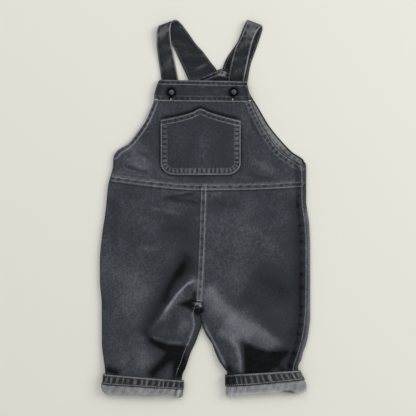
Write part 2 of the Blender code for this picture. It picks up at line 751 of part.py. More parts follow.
def main():
    for old in list(bpy.data.objects):
        bpy.data.objects.remove(old, do_unlink=True)
    garment = bpy.data.collections.new("denim_overalls")
    cutting = bpy.data.collections.new("cutters")
    bpy.context.scene.collection.children.link(garment)
    bpy.context.scene.collection.children.link(cutting)
    denim = finish("washed_denim", (0.060, 0.066, 0.078), 0.88)
    strap_denim = finish("strap_denim", (0.042, 0.046, 0.056), 0.88)
    wrong_side = finish("denim_wrong_side", (0.34, 0.35, 0.37), 0.92)
    gunmetal = finish("gunmetal", (0.035, 0.036, 0.040), 0.38, 0.9)

    for leg in ("left", "right"):
        add_sheet(f"front_leg_{leg}", leg_panel(leg, front_leg_lengths), WALL, denim, garment)
        add_sheet(f"back_leg_{leg}", leg_panel(leg, back_leg_lengths), WALL, denim, garment)
        add_sheet(f"cuff_{leg}", cuff_ring(leg, CUFF_PROFILE), WALL, wrong_side, garment)
        hem_profile = (Turn(0.0, HEM_LIFT), Turn(0.5, HEM_LIFT), Turn(1.0, HEM_LIFT))
        add_sheet(f"cuff_hem_{leg}", cuff_ring(leg, hem_profile), WALL, denim, garment)
        add_sheet(f"strap_{leg}", strap_rows(leg), STRAP_WALL, strap_denim, garment)

    bib = add_sheet("front_bib", front_bib_panel(), WALL, denim, garment)
    band = add_sheet("bib_band", band_panel(), WALL, denim, garment)
    add_sheet("bib_pocket", pocket_panel(), WALL, denim, garment)
    add_sheet("back_bib", back_bib_panel(), WALL, denim, garment)
    add_sheet("back_facing", facing_panel(), WALL, wrong_side, garment)

    for side, x in BUTTON_X.items():
        cutter = add_slot_cutter(f"buttonhole_{side}", x, cutting)
        cut_slots(bib, [cutter])
        cut_slots(band, [cutter])
        add_button(side, gunmetal, garment)


main()
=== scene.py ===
"""Looks of a small child's washed denim overalls, lying flat on a pale floor and seen from above.

Every cloth panel is a thin shell on the form of its solid, with finer creases, seam ridges and
puckers. Thread, buttonholes and metal buttons are pieces of their own. Sizes are in millimetres in
the garment's own frame, and are scaled to metres where a mesh is made.
"""
import logging
import math
from dataclasses import dataclass, field
from enum import Enum

import bmesh
import bpy
import numpy as np
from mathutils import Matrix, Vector
from mathutils.bvhtree import BVHTree


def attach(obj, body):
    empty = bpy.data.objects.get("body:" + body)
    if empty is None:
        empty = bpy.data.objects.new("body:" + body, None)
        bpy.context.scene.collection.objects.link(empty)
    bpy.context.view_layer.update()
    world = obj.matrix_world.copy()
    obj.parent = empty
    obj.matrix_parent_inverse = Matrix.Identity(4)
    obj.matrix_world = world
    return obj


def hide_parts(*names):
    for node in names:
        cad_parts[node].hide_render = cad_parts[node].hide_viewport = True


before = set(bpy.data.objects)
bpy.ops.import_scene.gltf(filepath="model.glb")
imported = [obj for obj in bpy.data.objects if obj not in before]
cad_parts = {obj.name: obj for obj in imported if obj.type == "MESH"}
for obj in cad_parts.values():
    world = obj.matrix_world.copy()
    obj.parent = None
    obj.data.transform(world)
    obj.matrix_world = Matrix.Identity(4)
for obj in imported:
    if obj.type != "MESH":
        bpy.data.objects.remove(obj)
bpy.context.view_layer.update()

LOG = logging.getLogger("overalls")

MM = 0.001
BODY = "root"

# The cloth: thicknesses, half the opening of a seam, and the step from one layer to the next
WALL = 1.2
STRAP_WALL = 2.2
HALF_GAP = 0.15
LAYER = WALL + 2.0 * HALF_GAP

# Places of the main lines along Y, before the slant that each line has
BIB_TOP_Y = 198.5
BUTTON_Y = 182.5
WAIST_Y = 38.0
CROTCH_Y = -149.0
LEG_PART_Y = -183.5
HEM_TOP_Y = -262.0
HEM_BOTTOM_Y = -277.0
LEG_END_Y = -278.0
TURN_Y = -293.0

# Stretch over which the legs close below the crotch, and how far each side seam lies round its edge
CROTCH_CLOSE = 8.0
SIDE_WRAP_LEFT = 8.5
SIDE_WRAP_RIGHT = 8.0
# Lift of the hem strip off the leg, and the cuff's level where the leg's panels end
HEM_LIFT = 3.6
LEG_END_LEVEL = 1.1
# Cloth of the bibs that lies higher than this shows on the front
SHOWN_Z = 2.6
# Rows on the underside are sunk this far, so that the garment still rests on its cloth
SUNK = -0.2
UP = np.array([0.0, 0.0, 1.0])


class Leg(Enum):
    """The wearer's two sides. The left one lies at +X."""

    LEFT = "left"
    RIGHT = "right"

    @property
    def sign(self) -> float:
        """Direction of this side along X."""
        return 1.0 if self is Leg.LEFT else -1.0


class Side(Enum):
    """Which panel of a leg."""

    FRONT = "front"
    BACK = "back"


# An array of places, heights or shares, or one of them
Numbers = np.ndarray | float
# x of each button's middle
BUTTON_X = {Leg.LEFT: 44.9, Leg.RIGHT: -52.8}


def smooth(value: Numbers) -> np.ndarray:
    """Eases from 0 to 1 as value goes from 0 to 1, and stays there beyond.

    Args:
        value: One number or an array.

    Returns:
        The eased values.
    """
    part = np.clip(value, 0.0, 1.0)
    return part * part * (3.0 - 2.0 * part)


def mix(first: Numbers, second: Numbers, part: Numbers) -> Numbers:
    """Value between first and second."""
    return first + (second - first) * part


def bell(value: Numbers, middle: Numbers, width: Numbers, power: int = 2) -> np.ndarray:
    """Falls from 1 at the middle to nearly 0 beyond the width, with a flatter top at power 4."""
    return np.exp(-(((value - middle) / width) ** power))


def spread(stops: tuple[float, ...], counts: tuple[int, ...]) -> np.ndarray:
    """Values from the first stop to the last.

    Args:
        stops: Values that are met exactly.
        counts: Even steps between each two stops.

    Returns:
        All the values in order.
    """
    runs = [np.linspace(a, b, n, endpoint=False) for a, b, n in zip(stops, stops[1:], counts)]
    return np.concatenate(runs + [np.array([stops[-1]])])


@dataclass(frozen=True)
class Curve:
    """A smooth curve through a short table of (place, value) rows, never past a row's value."""

    rows: tuple[tuple[float, float], ...]

    def _slopes(self, keys: np.ndarray, values: np.ndarray) -> np.ndarray:
        """Slope at each row: none at a turning point, else the steadier mean of both sides.

        Args:
            keys: Places of the rows.
            values: Values of the rows.

        Returns:
            The slopes.
        """
        rises = np.diff(values) / np.diff(keys)
        slopes = np.empty(len(keys))
        slopes[0], slopes[-1] = rises[0], rises[-1]
        turning = rises[:-1] * rises[1:] <= 0.0
        total = np.where(turning, 1.0, rises[:-1] + rises[1:])
        slopes[1:-1] = np.where(turning, 0.0, 2.0 * rises[:-1] * rises[1:] / total)
        return slopes

    def at(self, places: Numbers) -> np.ndarray:
        """Values at some places.

        Args:
            places: One place or an array of them.

        Returns:
            The curve's values, held constant beyond its ends.
        """
        keys = np.array([row[0] for row in self.rows], dtype=float)
        values = np.array([row[1] for row in self.rows], dtype=float)
        slopes = self._slopes(keys, values)
        held = np.clip(places, keys[0], keys[-1])
        index = np.clip(np.searchsorted(keys, held, side="right") - 1, 0, len(keys) - 2)
        span = keys[index + 1] - keys[index]
        part = (held - keys[index]) / span
        square, cube = part ** 2, part ** 3
        return (
            (2 * cube - 3 * square + 1) * values[index]
            + (cube - 2 * square + part) * slopes[index] * span
            + (3 * square - 2 * cube) * values[index + 1]
            + (cube - square) * slopes[index + 1] * span
        )


@dataclass(frozen=True)
class Fold:
    """A soft ridge, or a trough where its height is negative, along a straight stretch."""

    x0: float
    y0: float
    x1: float
    y1: float
    height: float
    width: float

    def change(self, x: np.ndarray, y: np.ndarray) -> np.ndarray:
        """Rise at some places.

        Args:
            x: Places across.
            y: Places along.

        Returns:
            The rise there.
        """
        ax, ay = self.x1 - self.x0, self.y1 - self.y0
        part = np.clip(((x - self.x0) * ax + (y - self.y0) * ay) / (ax * ax + ay * ay), 0.0, 1.0)
        dx, dy = x - self.x0 - part * ax, y - self.y0 - part * ay
        return self.height * np.exp(-(dx ** 2 + dy ** 2) / self.width ** 2)


def line_offsets(
    points: tuple, x: np.ndarray, y: np.ndarray,
) -> tuple[np.ndarray, np.ndarray, float]:
    """Signed distance from a line of points, and length along it.

    Args:
        points: The line's points (x, y).
        x: Places across.
        y: Places along.

    Returns:
        The distances, positive to the left of the line's direction, the lengths, and the whole
        line's length.
    """
    best = np.full(np.shape(x), 1e9)
    signed = np.full(np.shape(x), 1e9)
    along = np.zeros(np.shape(x))
    walked = 0.0
    for (x0, y0), (x1, y1) in zip(points, points[1:]):
        ax, ay = x1 - x0, y1 - y0
        length = math.hypot(ax, ay)
        part = np.clip(((x - x0) * ax + (y - y0) * ay) / length ** 2, 0.0, 1.0)
        dx, dy = x - x0 - part * ax, y - y0 - part * ay
        distance = np.hypot(dx, dy)
        nearer = distance < best
        best = np.where(nearer, distance, best)
        signed = np.where(nearer, distance * np.where(ax * dy - ay * dx < 0.0, -1.0, 1.0), signed)
        along = np.where(nearer, walked + part * length, along)
        walked += length
    return signed, along, walked


@dataclass(frozen=True)
class Stroke:
    """A crease along a curved line, whose two flanks may fall away differently."""

    points: tuple[tuple[float, float], ...]
    rise: float
    # wear and shading: painted shade in a valley where negative, painted highlight on a ridge where
    # positive, with some wear
    wear_and_shading: float
    left: float
    right: float

    def change(self, x: np.ndarray, y: np.ndarray) -> np.ndarray:
        """Share of the crease at some places, from 0 to 1, fading at its ends.

        Args:
            x: Places across.
            y: Places along.

        Returns:
            The change there.
        """
        signed, along, total = line_offsets(self.points, x, y)
        width = np.where(signed > 0.0, self.left, self.right)
        end = min(14.0, total / 3.0)
        return bell(signed, 0.0, width) * smooth(along / end) * smooth((total - along) / end)


@dataclass(frozen=True)
class Seam:
    """A sewn line: its rows of stitches, its raised band, its puckers and its dark cells, which are
    painted shade in the puckers' hollows.
    """

    points: tuple[tuple[float, float], ...]
    rows: tuple[float, ...]
    band: tuple[float, float] = (0.0, 0.0)
    rise: float = 0.0
    pucker: float = 0.25
    pitch: float = 11.0
    # cells: darker in the puckers' hollows, painted shade, and a little paler between them
    cells: float = 0.5
    reach: float = 3.2
    # edges: a line along each edge of the raised band, pale from wear where positive, and dark, painted
    # shade, where negative
    edges: tuple[float, float] = (0.5, 0.5)
    phase: float = 0.0
    aside: float = 0.0
    tone: float = 0.0
    second: float = 0.34

    def ripple(self, along: np.ndarray) -> np.ndarray:
        """Uneven wave from -1 to 1 along the seam.

        Args:
            along: Lengths along the seam.

        Returns:
            The wave's values.
        """
        turn = 2.0 * math.pi * along / self.pitch
        uneven = 1.3 * np.sin(along / 23.0 + self.phase) + 0.7 * np.sin(along / 8.7)
        return np.sin(turn + self.phase + uneven)

    def relief(self, x: np.ndarray, y: np.ndarray) -> tuple[np.ndarray, np.ndarray]:
        """Rise from this seam, and its wear and painted shading.

        Args:
            x: Places across.
            y: Places along.

        Returns:
            The rise in millimetres, and the wear and painted shading from -1, dark, to 1, pale.
        """
        signed, along, _ = line_offsets(self.points, x, y)
        low, high = self.band
        wave = self.ripple(along)
        hollow = smooth(0.15 + 0.9 * wave)
        rise = np.zeros(np.shape(x))
        wear_and_shading = np.zeros(np.shape(x))
        if high > low:
            raised = smooth((signed - low + 0.7) / 1.4) * smooth((high + 0.7 - signed) / 1.4)
            rise = rise + self.rise * raised
            for place, edge in zip(self.band, self.edges):
                wear_and_shading = wear_and_shading + edge * bell(signed, place, 0.9) * (0.8 + 0.3 * wave)
        between = (max(self.rows) + min(self.rows)) / 2 + self.aside
        half = (max(self.rows) - min(self.rows)) / 2 + self.reach
        inside = bell(signed, between, half, 4)
        uneven = 0.75 + 0.35 * np.sin(along / 13.0 + 2.0 * self.phase) * np.sin(along / 5.9)
        # painted shade in the puckers' hollows
        wear_and_shading = wear_and_shading + inside * (self.cells * (0.14 - hollow * uneven) + self.tone)
        rise = rise - self.pucker * inside * (hollow - 0.3)
        for row, shine in zip(self.rows, (0.34, self.second)):
            wear_and_shading = wear_and_shading + shine * bell(signed, row, 1.1)
            rise = rise - 0.18 * bell(signed, row, 0.9)
        return rise, wear_and_shading


@dataclass(frozen=True)
class Hollow:
    """Painted shade in a hollow under a fold's lip, inside a polygon with soft edges."""

    points: tuple[tuple[float, float], ...]
    wear_and_shading: float
    softness: float

    def change(self, x: np.ndarray, y: np.ndarray) -> np.ndarray:
        """Painted shade at some places, or a pale spot where the value is positive.

        Args:
            x: Places across.
            y: Places along.

        Returns:
            The change there.
        """
        crossings = np.zeros(np.shape(x), dtype=int)
        for (x0, y0), (x1, y1) in zip(self.points, self.points[1:] + self.points[:1]):
            spans = (y0 > y) != (y1 > y)
            at = x0 + (y - y0) * (x1 - x0) / (y1 - y0 if y1 != y0 else 1e-9)
            crossings = crossings + (spans & (x < at))
        distance = np.abs(line_offsets(self.points + self.points[:1], x, y)[0])
        inside = np.where(crossings % 2 == 1, distance, -distance)
        return self.wear_and_shading * smooth(0.5 + inside / self.softness)


CENTRE_EDGE = Curve((
    (-183.5, -4.6), (-170, -7.0), (CROTCH_Y, -10.0), (-116, -7.9), (-62, -5.4), (-12, -3.8),
    (26, -2.4), (51, -2.0),
))
OUTER_EDGE = {
    Leg.RIGHT: Curve((
        (-300, -160.9), (-281, -160.9), (-272, -157.2), (-262, -156.8), (-251, -157.5),
        (-239, -159.1), (-213, -162.2), (-149, -162.6), (-112, -165.4), (-84, -165.4),
        (-43, -162.2), (-12, -157.5), (13, -154.4), (26, -152.8), (39, -149.6), (51, -146.5),
        (64, -144.9), (76, -144.4), (83, -143.3), (89, -141.8), (95.3, -133.9), (101.6, -122.9),
        (114, -111.8), (127, -102.4), (139.4, -94.5), (158, -86.4), (171, -81.2),
        (185, -76.8), (193, -74.2), (196.5, -72.4), (200, -69.5),
    )),
    Leg.LEFT: Curve((
        (-300, 157.1), (-287, 157.1), (-275, 152.4), (-268, 148.6), (-262, 146.8), (-251, 146.5),
        (-239, 151.2), (-226, 154.4), (-213, 159.1), (-188, 163.8), (-170, 165.4), (-62, 165.4),
        (-24, 163.8), (13, 159.1), (64, 159.1), (70, 158.3), (76, 156.4), (89, 138.3),
        (108, 120.0), (129, 103.0), (155, 87.4), (193, 67.7), (200, 67.0),
    )),
}
INNER_EDGE = {
    Leg.RIGHT: Curve((
        (-300, -36.4), (-262, -36.2), (-257, -35.2), (-249, -31.0), (-239, -26.8), (-226, -22.0),
        (-213, -15.8), (-201, -11.0), (-188, -6.3), (-183.5, -4.6),
    )),
    Leg.LEFT: Curve((
        (-300, 35.0), (-262, 34.8), (-256, 34.6), (-249, 29.4), (-239, 22.0), (-226, 15.8),
        (-213, 11.0), (-201, 3.2), (-188, -3.2), (-183.5, -4.6),
    )),
}
INSEAM_WRAP = Curve(((-300, 8.0), (-264, 8.0), (-242, 8.8), (-215, 10.0), (-157, 11.5)))
FRONT_BIB_EDGE = Curve((
    (38, 150.15), (66, 150.1), (68.5, 149.0), (76, 137.0), (89, 118.8), (111, 101.7), (135, 87.4),
    (166, 73.1), (193, 65.4), (200, 64.6),
))
BACK_BIB_EDGE = Curve((
    (38, -139.5), (64, -136.6), (76, -134.5), (89, -117.0), (108, -95.0), (129, -76.0),
    (155, -56.0), (182, -38.0), (200, -24.0),
))
WAIST_LINE = Curve(((-146, 47.0), (-95, 40.0), (-8, 33.0), (80, 34.0), (151, 38.0)))
ROOF_LOW_X, ROOF_PEAK_X, ROOF_HIGH_X, ROOF_RISE = -24.0, 24.4, 70.0, 21.0
HEM_TOP_LINE = {
    Leg.RIGHT: Curve(((-160, -260.0), (-36, -270.3))),
    Leg.LEFT: Curve(((32, -261.3), (150, -254.2))),
}
HEM_BOTTOM_LINE = {
    Leg.RIGHT: Curve(((-162, -275.2), (-35, -283.0))),
    Leg.LEFT: Curve(((32, -278.2), (56, -277.2), (154, -268.2))),
}
TURN_LINE = {
    Leg.RIGHT: Curve((
        (-163, -282.0), (-160, -287.0), (-153, -291.5), (-106, -292.8), (-74, -294.0),
        (-58, -290.8), (-43, -296.9), (-35, -296.0),
    )),
    Leg.LEFT: Curve((
        (32, -295.8), (54, -293.0), (103, -289.3), (120, -288.8), (140, -291.5), (159, -287.6),
    )),
}
POCKET_TOP_LINE = Curve((
    (-70.9, 138.4), (-40, 144.6), (-20, 150.3), (-7.1, 156.2), (6, 150.6), (27, 144.0),
    (56.7, 136.7),
))

# The same folds as the solids have: start, end, height and width of each
MAIN_FOLDS = tuple(Fold(*row) for row in (
    (-35, -57, -63, -105, -2.2, 13), (-63, -105, -94, -176, -2.6, 12),
    (-14, -114, -39, -136, 4.5, 7), (-39, -136, -63, -168, 6.0, 7),
    (-63, -168, -86, -194, 5.0, 8), (-40, -176, -28, -198, 4.5, 15),
    (-91, -201, -71, -215, -2.6, 8), (-71, -215, -27, -223, -3.4, 8),
    (-32, -230, -86, -262, -2.8, 9), (-92, -243, -118, -236, 2.2, 14),
    (-18, -154, -20, -160, -2.0, 6), (-3, -120, 60, -165, 4.5, 15),
    (60, -165, 122, -213, 6.5, 16), (63, -227, 116, -232, -4.0, 13),
    (66, -244, 100, -246, -3.0, 12), (54, -214, 57, -262, 3.0, 7),
    (145, 29, 145, -34, -1.0, 8), (-47, 21, -8, 24, 1.2, 6), (-63, 10, -8, 5, -1.0, 7),
    (-112, 84, -70, 62, 1.0, 8), (-96, 96, -84, 60, -0.8, 7),
))

# Smaller creases: points, rise, wear and shading, and the widths of the flank on the left of the
# line's direction and of the one on its right. Negative wear and shading is painted shade in the
# valleys, positive is a painted highlight on the ridges.
STROKES = tuple(Stroke(*row) for row in (
    # the wearer's right leg: dark valley of painted shade, sharp ridge with a painted highlight
    # beside it, and the lip of the lower fold with painted shade under it
    (((-21, -66), (-33, -86), (-48, -108), (-62, -132), (-70, -154), (-86, -184), (-100, -204)),
     -0.9, -0.56, 11.0, 12.0),
    (((-28, -78), (-44, -104), (-58, -130), (-64, -156)), -0.4, -0.34, 6.0, 6.0),
    (((-13, -111), (-28, -119), (-42, -133), (-56, -152), (-66, -166)), 0.9, 0.85, 1.5, 1.9),
    (((-48, -142), (-66, -166), (-79, -184), (-92, -200)), 0.7, 0.36, 4.0, 5.5),
    (((-30, -123), (-46, -141), (-60, -160), (-74, -180)), 0.3, 0.25, 7.0, 3.0),
    (((-16.5, -128), (-17, -146)), -0.6, -0.9, 2.0, 3.0),
    (((-24, -172), (-36, -186), (-44, -204)), 0.5, 0.22, 9.0, 7.0),
    (((-94, -198), (-80, -209), (-58, -216), (-27, -218)), -1.0, -0.95, 2.4, 8.0),
    (((-92, -194), (-78, -204), (-56, -211), (-28, -212)), 0.4, 0.25, 3.5, 1.8),
    (((-56, -219), (-42, -230), (-35, -246), (-41, -266)), -0.9, -0.8, 6.0, 8.5),
    (((-52, -224), (-66, -240), (-92, -267)), -0.8, -0.85, 8.0, 7.0),
    (((-50, -240), (-58, -254), (-60, -266)), 0.6, 0.04, 3.0, 3.0),
    (((-160, -248), (-146, -255), (-130, -260)), -0.9, -1.0, 5.5, 5.5),
    (((-136, -252), (-126, -238), (-120, -224)), 0.4, 0.12, 5.0, 5.0),
    # the wearer's left leg: broad ridge with a painted highlight, deep hollow with painted shade,
    # and the soft upright fold beside it
    (((0, -118), (23, -150), (54, -174), (89, -196), (129, -221)), 0.6, 0.42, 10.0, 17.0),
    (((54, -128), (82, -152), (104, -182), (124, -208)), 0.0, -0.27, 14.0, 11.0),
    (((30, -168), (54, -190), (78, -206)), 0.3, 0.28, 14.0, 14.0),
    (((14, -196), (34, -200), (58, -206)), 0.3, 0.28, 10.0, 6.0),
    (((36, -200), (50, -215), (56, -236), (59, -266)), 0.8, 0.42, 3.0, 6.0),
    (((60, -211), (78, -220), (98, -226), (124, -226)), -0.9, -0.5, 2.2, 7.0),
    (((104, -236), (118, -250), (128, -260)), -0.4, -0.35, 5.0, 5.0),
    (((32, -232), (38, -250), (42, -262)), -0.5, -0.45, 4.0, 4.0),
    (((-2, -176), (3, -190), (12, -206), (20, -221), (36, -254)), 0.3, 0.55, 1.6, 1.8),
    (((70, -100), (110, -122), (140, -140)), -0.3, -0.26, 16.0, 18.0),
    (((144, 22), (147, -40), (148, -110), (149, -160), (142, -206)), -0.2, -0.42, 4.0, 10.0),
    # hips and thighs
    (((-68, 15), (-42, 20), (-11, 25.5)), -0.6, -0.52, 2.0, 4.0),
    (((-50, 21), (-30, 25), (-9, 28)), 0.5, 0.20, 2.0, 2.0),
    (((-58, 14), (-36, 13), (-6, 8)), -0.6, -0.52, 2.0, 4.0),
    (((-44, 9), (-28, 10), (-12, 3)), 0.4, 0.20, 3.0, 3.0),
    (((-90, 2), (-60, -3), (-30, -8)), 0.3, 0.14, 3.0, 4.0),
    (((-70, -32), (-44, -32), (-20, -38)), -0.3, -0.18, 5.0, 6.0),
    (((-60, -62), (-88, -66), (-112, -62)), 0.3, 0.14, 4.0, 6.0),
    (((6, 18), (18, 24), (34, 27)), 0.4, 0.15, 3.0, 3.0),
    (((10, 12), (30, 6), (60, 4)), -0.3, -0.15, 4.0, 4.0),
    (((-146, 20), (-140, -20), (-144, -60)), -0.3, -0.12, 6.0, 8.0),
    (((60, -20), (90, -40), (110, -74)), 0.3, 0.10, 12.0, 12.0),
    # bib, beside and below the pocket
    (((-134, 80), (-112, 72), (-92, 58)), 0.5, 0.09, 3.0, 4.0),
    (((-130, 68), (-104, 60), (-84, 54)), -0.4, -0.24, 3.0, 3.0),
    (((-112, 92), (-92, 84), (-80, 70)), -0.4, -0.20, 3.0, 4.0),
    (((-78, 60), (-62, 50), (-40, 46)), 0.4, 0.16, 2.4, 3.0),
    (((-30, 49), (10, 46), (50, 49)), -0.3, -0.08, 2.6, 3.4),
    (((66, 84), (92, 66), (122, 56)), 0.4, 0.12, 4.0, 5.0),
    (((62, 60), (84, 48), (110, 46)), -0.3, -0.20, 3.0, 4.0),
    (((-82, 160), (-86, 140), (-100, 118)), 0.3, 0.12, 3.0, 5.0),
    (((70, 150), (78, 128), (92, 106)), -0.3, -0.14, 3.0, 4.0),
    # painted shadow round the pocket's sides and bottom, and a darker one above its pointed top, with no
    # rise
    (((-70.6, 136), (-70.8, 76), (-66, 61), (-54, 52.4), (-7, 51.2), (41, 52.4), (53, 61),
      (57.6, 76), (57.2, 136)), 0.0, -0.6, 1.6, 1.6),
    (((-74, 141), (-40, 147), (-20, 153), (-7, 159), (6, 153), (27, 147), (60, 139)),
     0.0, -0.95, 2.6, 2.0),
))

# Painted shade in hollows, and one pale spot: corners, wear and shading, and softness of the edge
HOLLOWS = tuple(Hollow(*row) for row in (
    (((60, -212), (78, -221), (100, -228), (128, -225), (114, -240), (98, -256), (88, -272),
      (62, -272)), -1.3, 16.0),
    (((112, -214), (136, -190), (147, -200), (147, -264), (90, -266)), -0.44, 18.0),
    (((-84, -209), (-58, -217), (-28, -218), (-30, -236), (-37, -266), (-52, -268), (-48, -240),
      (-62, -225)), -0.85, 10.0),
    # at the crotch, round the sewn knot
    (((-42, -150), (-22, -142), (-14, -144), (-4, -148), (-1, -162), (-12, -168), (-24, -158)),
     -1.1, 6.0),
    (((-19, -148), (-8, -147.5), (-4, -154), (-10, -157)), 2.0, 4.5),
    (((20, -250), (40, -246), (60, -262), (34, -268)), -0.5, 9.0),
))

# Larger pale and dark areas, partly of the wash and partly painted shade in and beside the folds' hollows
# and valleys: the height is the change of wear and shading
WEAR_AND_SHADE_PATCHES = tuple(Fold(*row) for row in (
    (-122, 92, -98, 66, 0.12, 20), (-140, -90, -110, -130, 0.12, 34),
    (-130, -150, -120, -200, 0.08, 28), (30, -40, 60, -90, 0.06, 34),
    (100, -110, 130, -140, -0.22, 26), (110, -40, 140, -100, -0.06, 26),
    (-15, 100, 10, 80, -0.10, 50), (-96, -240, -86, -226, 0.22, 16),
    (-36, -20, -30, -50, -0.16, 20), (-80, -222, -70, -216, -0.2, 14),
    (-19, -92, -36, -103, -0.34, 8),
    (90, 90, 110, 60, 0.05, 26), (-60, 36, 40, 26, 0.03, 16),
    (-60, -240, -80, -262, -0.34, 9), (-52, -236, -42, -254, -0.36, 8),
    (-33, -256, -29, -268, -0.45, 7),
    (-50, 8, -36, -8, 0.09, 14), (-18, -112, -10, -122, 0.30, 7),
    (-140, 52, -105, 52, 0.11, 12), (-108, 98, -92, 82, 0.07, 14),
    (5, 50, 66, 50, 0.10, 9),
))

# Creases of the back, which lies on the ground: low hollows and worn stretches
BACK_STROKES = tuple(Stroke(*row) for row in (
    (((-128, -8), (-96, -22), (-60, -30)), 0.5, 0.25, 4.0, 5.0),
    (((-40, -96), (-70, -128), (-100, -150)), 0.7, -0.35, 4.0, 7.0),
    (((-20, -128), (-50, -156), (-70, -190)), 0.6, 0.30, 4.0, 5.0),
    (((-140, -190), (-110, -206), (-84, -214)), 0.5, -0.30, 4.0, 5.0),
    (((20, -118), (54, -140), (88, -168)), 0.7, 0.30, 5.0, 7.0),
    (((60, -196), (92, -212), (122, -216)), 0.6, -0.35, 4.0, 6.0),
    (((130, -20), (100, -42), (70, -50)), 0.5, 0.20, 5.0, 6.0),
    (((14, -60), (34, -84), (60, -96)), 0.4, -0.25, 5.0, 5.0),
    (((-90, 70), (-40, 60), (20, 64)), 0.4, -0.20, 5.0, 6.0),
    (((100, 60), (60, 84), (30, 90)), 0.4, 0.20, 5.0, 6.0),
))

# Even swells over the whole cloth: wave vector in radians per millimetre, height, phase
SWELLS = (
    (0.071, 0.043, 0.16, 0.4), (-0.038, 0.094, 0.13, 1.9), (0.133, -0.061, 0.08, 2.7),
    (0.027, 0.019, 0.22, 5.1), (-0.152, -0.118, 0.05, 0.9), (0.211, 0.087, 0.035, 3.3),
)


def edge_points(curve: Curve, start: float, end: float, count: int, shift: float = 0.0) -> tuple:
    """Points (x, y) along an edge that is given as x for each y.

    Args:
        curve: The edge.
        start: First y.
        end: Last y.
        count: Number of points.
        shift: Moves every point along X.

    Returns:
        The points in order.
    """
    ys = np.linspace(start, end, count)
    return tuple((float(x) + shift, float(y)) for x, y in zip(curve.at(ys), ys))


def line_points(curve: Curve, start: float, end: float, count: int, shift: float = 0.0) -> tuple:
    """Points (x, y) along a line that is given as y for each x."""
    xs = np.linspace(start, end, count)
    return tuple((float(x), float(y) + shift) for x, y in zip(xs, curve.at(xs)))


# Each seam gives, after its points and rows, Seam's other fields in their order
WAIST_SEAM = Seam(
    line_points(WAIST_LINE, -147, 151, 18), (-3.0, 3.0), (-5.2, 5.8), 0.55, 0.30, 12.5, 0.42, -0.8,
    (-0.65, 0.34), 0.3, 0.6, 0.04, 0.30,
)
WAIST_SHINE = Stroke(line_points(WAIST_LINE, -147, 151, 18, -3.0), 0.0, 0.26, 1.1, 1.0)
CENTRE_SEAM = Seam(
    edge_points(CENTRE_EDGE, 34, -150, 14), (3.4, -2.6), (-4.4, 4.6), 0.6, 0.25, 13.0, 0.28, 0.2,
    (-0.25, 0.20), 1.1, 0.0, 0.08,
)
# how far the side seam shows inside the left leg's outer edge, for each y
SIDE_INSET = Curve(((-262, 9.1), (-195, 9.0), (-150, 7.8), (-100, 7.2), (30, 7.2), (76, 8.4)))


def side_points(share: float) -> tuple:
    """Points beside the left leg's outer edge, at a share of the side seam's inset.

    Args:
        share: From 0 at the edge to 1 at the seam.

    Returns:
        The points (x, y).
    """
    ys = np.linspace(70.0, -260.0, 26)
    xs = OUTER_EDGE[Leg.LEFT].at(ys) - share * SIDE_INSET.at(ys)
    return tuple(zip(xs.tolist(), ys.tolist()))


SIDE_SEAM = Seam(
    side_points(1.0), (0.2,), (-1.4, 1.0), 0.35, 0.45, 16.0, 0.34, 4.2, (-0.3, 0.0), 2.0, -6.0,
    -0.36,
)
# pale strip where the back panel rolls round the left leg's outer edge: painted highlight
SIDE_STRIP = Stroke(side_points(0.25)[5:], 0.0, 0.40, 3.0, 3.2)


def inside_points(share: float) -> tuple:
    """Points beside the right leg's inner edge, at a share of the wrapped strip's width.

    Args:
        share: From 0 at the edge to 1 at the seam.

    Returns:
        The points (x, y).
    """
    ys = np.linspace(-150.0, -262.0, 14)
    edge = np.where(ys < LEG_PART_Y, INNER_EDGE[Leg.RIGHT].at(ys), CENTRE_EDGE.at(ys))
    xs = edge - share * INSEAM_WRAP.at(ys) * smooth((CROTCH_Y - ys) / 16.0)
    return tuple(zip(xs.tolist(), ys.tolist()))


INSEAM = Seam(
    inside_points(1.0), (-1.4,), (-3.4, -0.2), 0.35, 0.35, 12.0, 0.45, 2.0, (0.2, 0.4), 0.5,
)
INSEAM_STRIP = Stroke(inside_points(0.5), 0.0, -0.10, 3.6, 4.0)
# darker rim along the right leg's inner edge, where the cloth rolls under: painted shade
INSEAM_RIM = Stroke(inside_points(0.05), 0.0, -0.55, 2.2, 2.2)
LEFT_ARMHOLE = Seam(
    edge_points(OUTER_EDGE[Leg.RIGHT], 86, 167.5, 16), (-2.0, -7.4), (-8.2, 3.0), 0.7, 0.25, 8.0,
    0.40, 0.2,
    (0.35, 0.2),
)
RIGHT_ARMHOLE = Seam(
    edge_points(FRONT_BIB_EDGE, 68, 167.5, 18), (2.0, 8.2), (-0.3, 9.0), 0.7, 0.30, 8.0, 0.50,
    0.0, (-0.5, 0.2), 2.2,
    0.0, 0.12, 0.2,
)
BACK_ARMHOLE = Seam(
    edge_points(OUTER_EDGE[Leg.LEFT], 68, 190, 22), (4.2, 8.4), (1.1, 9.2), 0.6, 0.25, 8.0, 0.4,
    0.2,
    (-1.3, -0.7), 0.9,
)
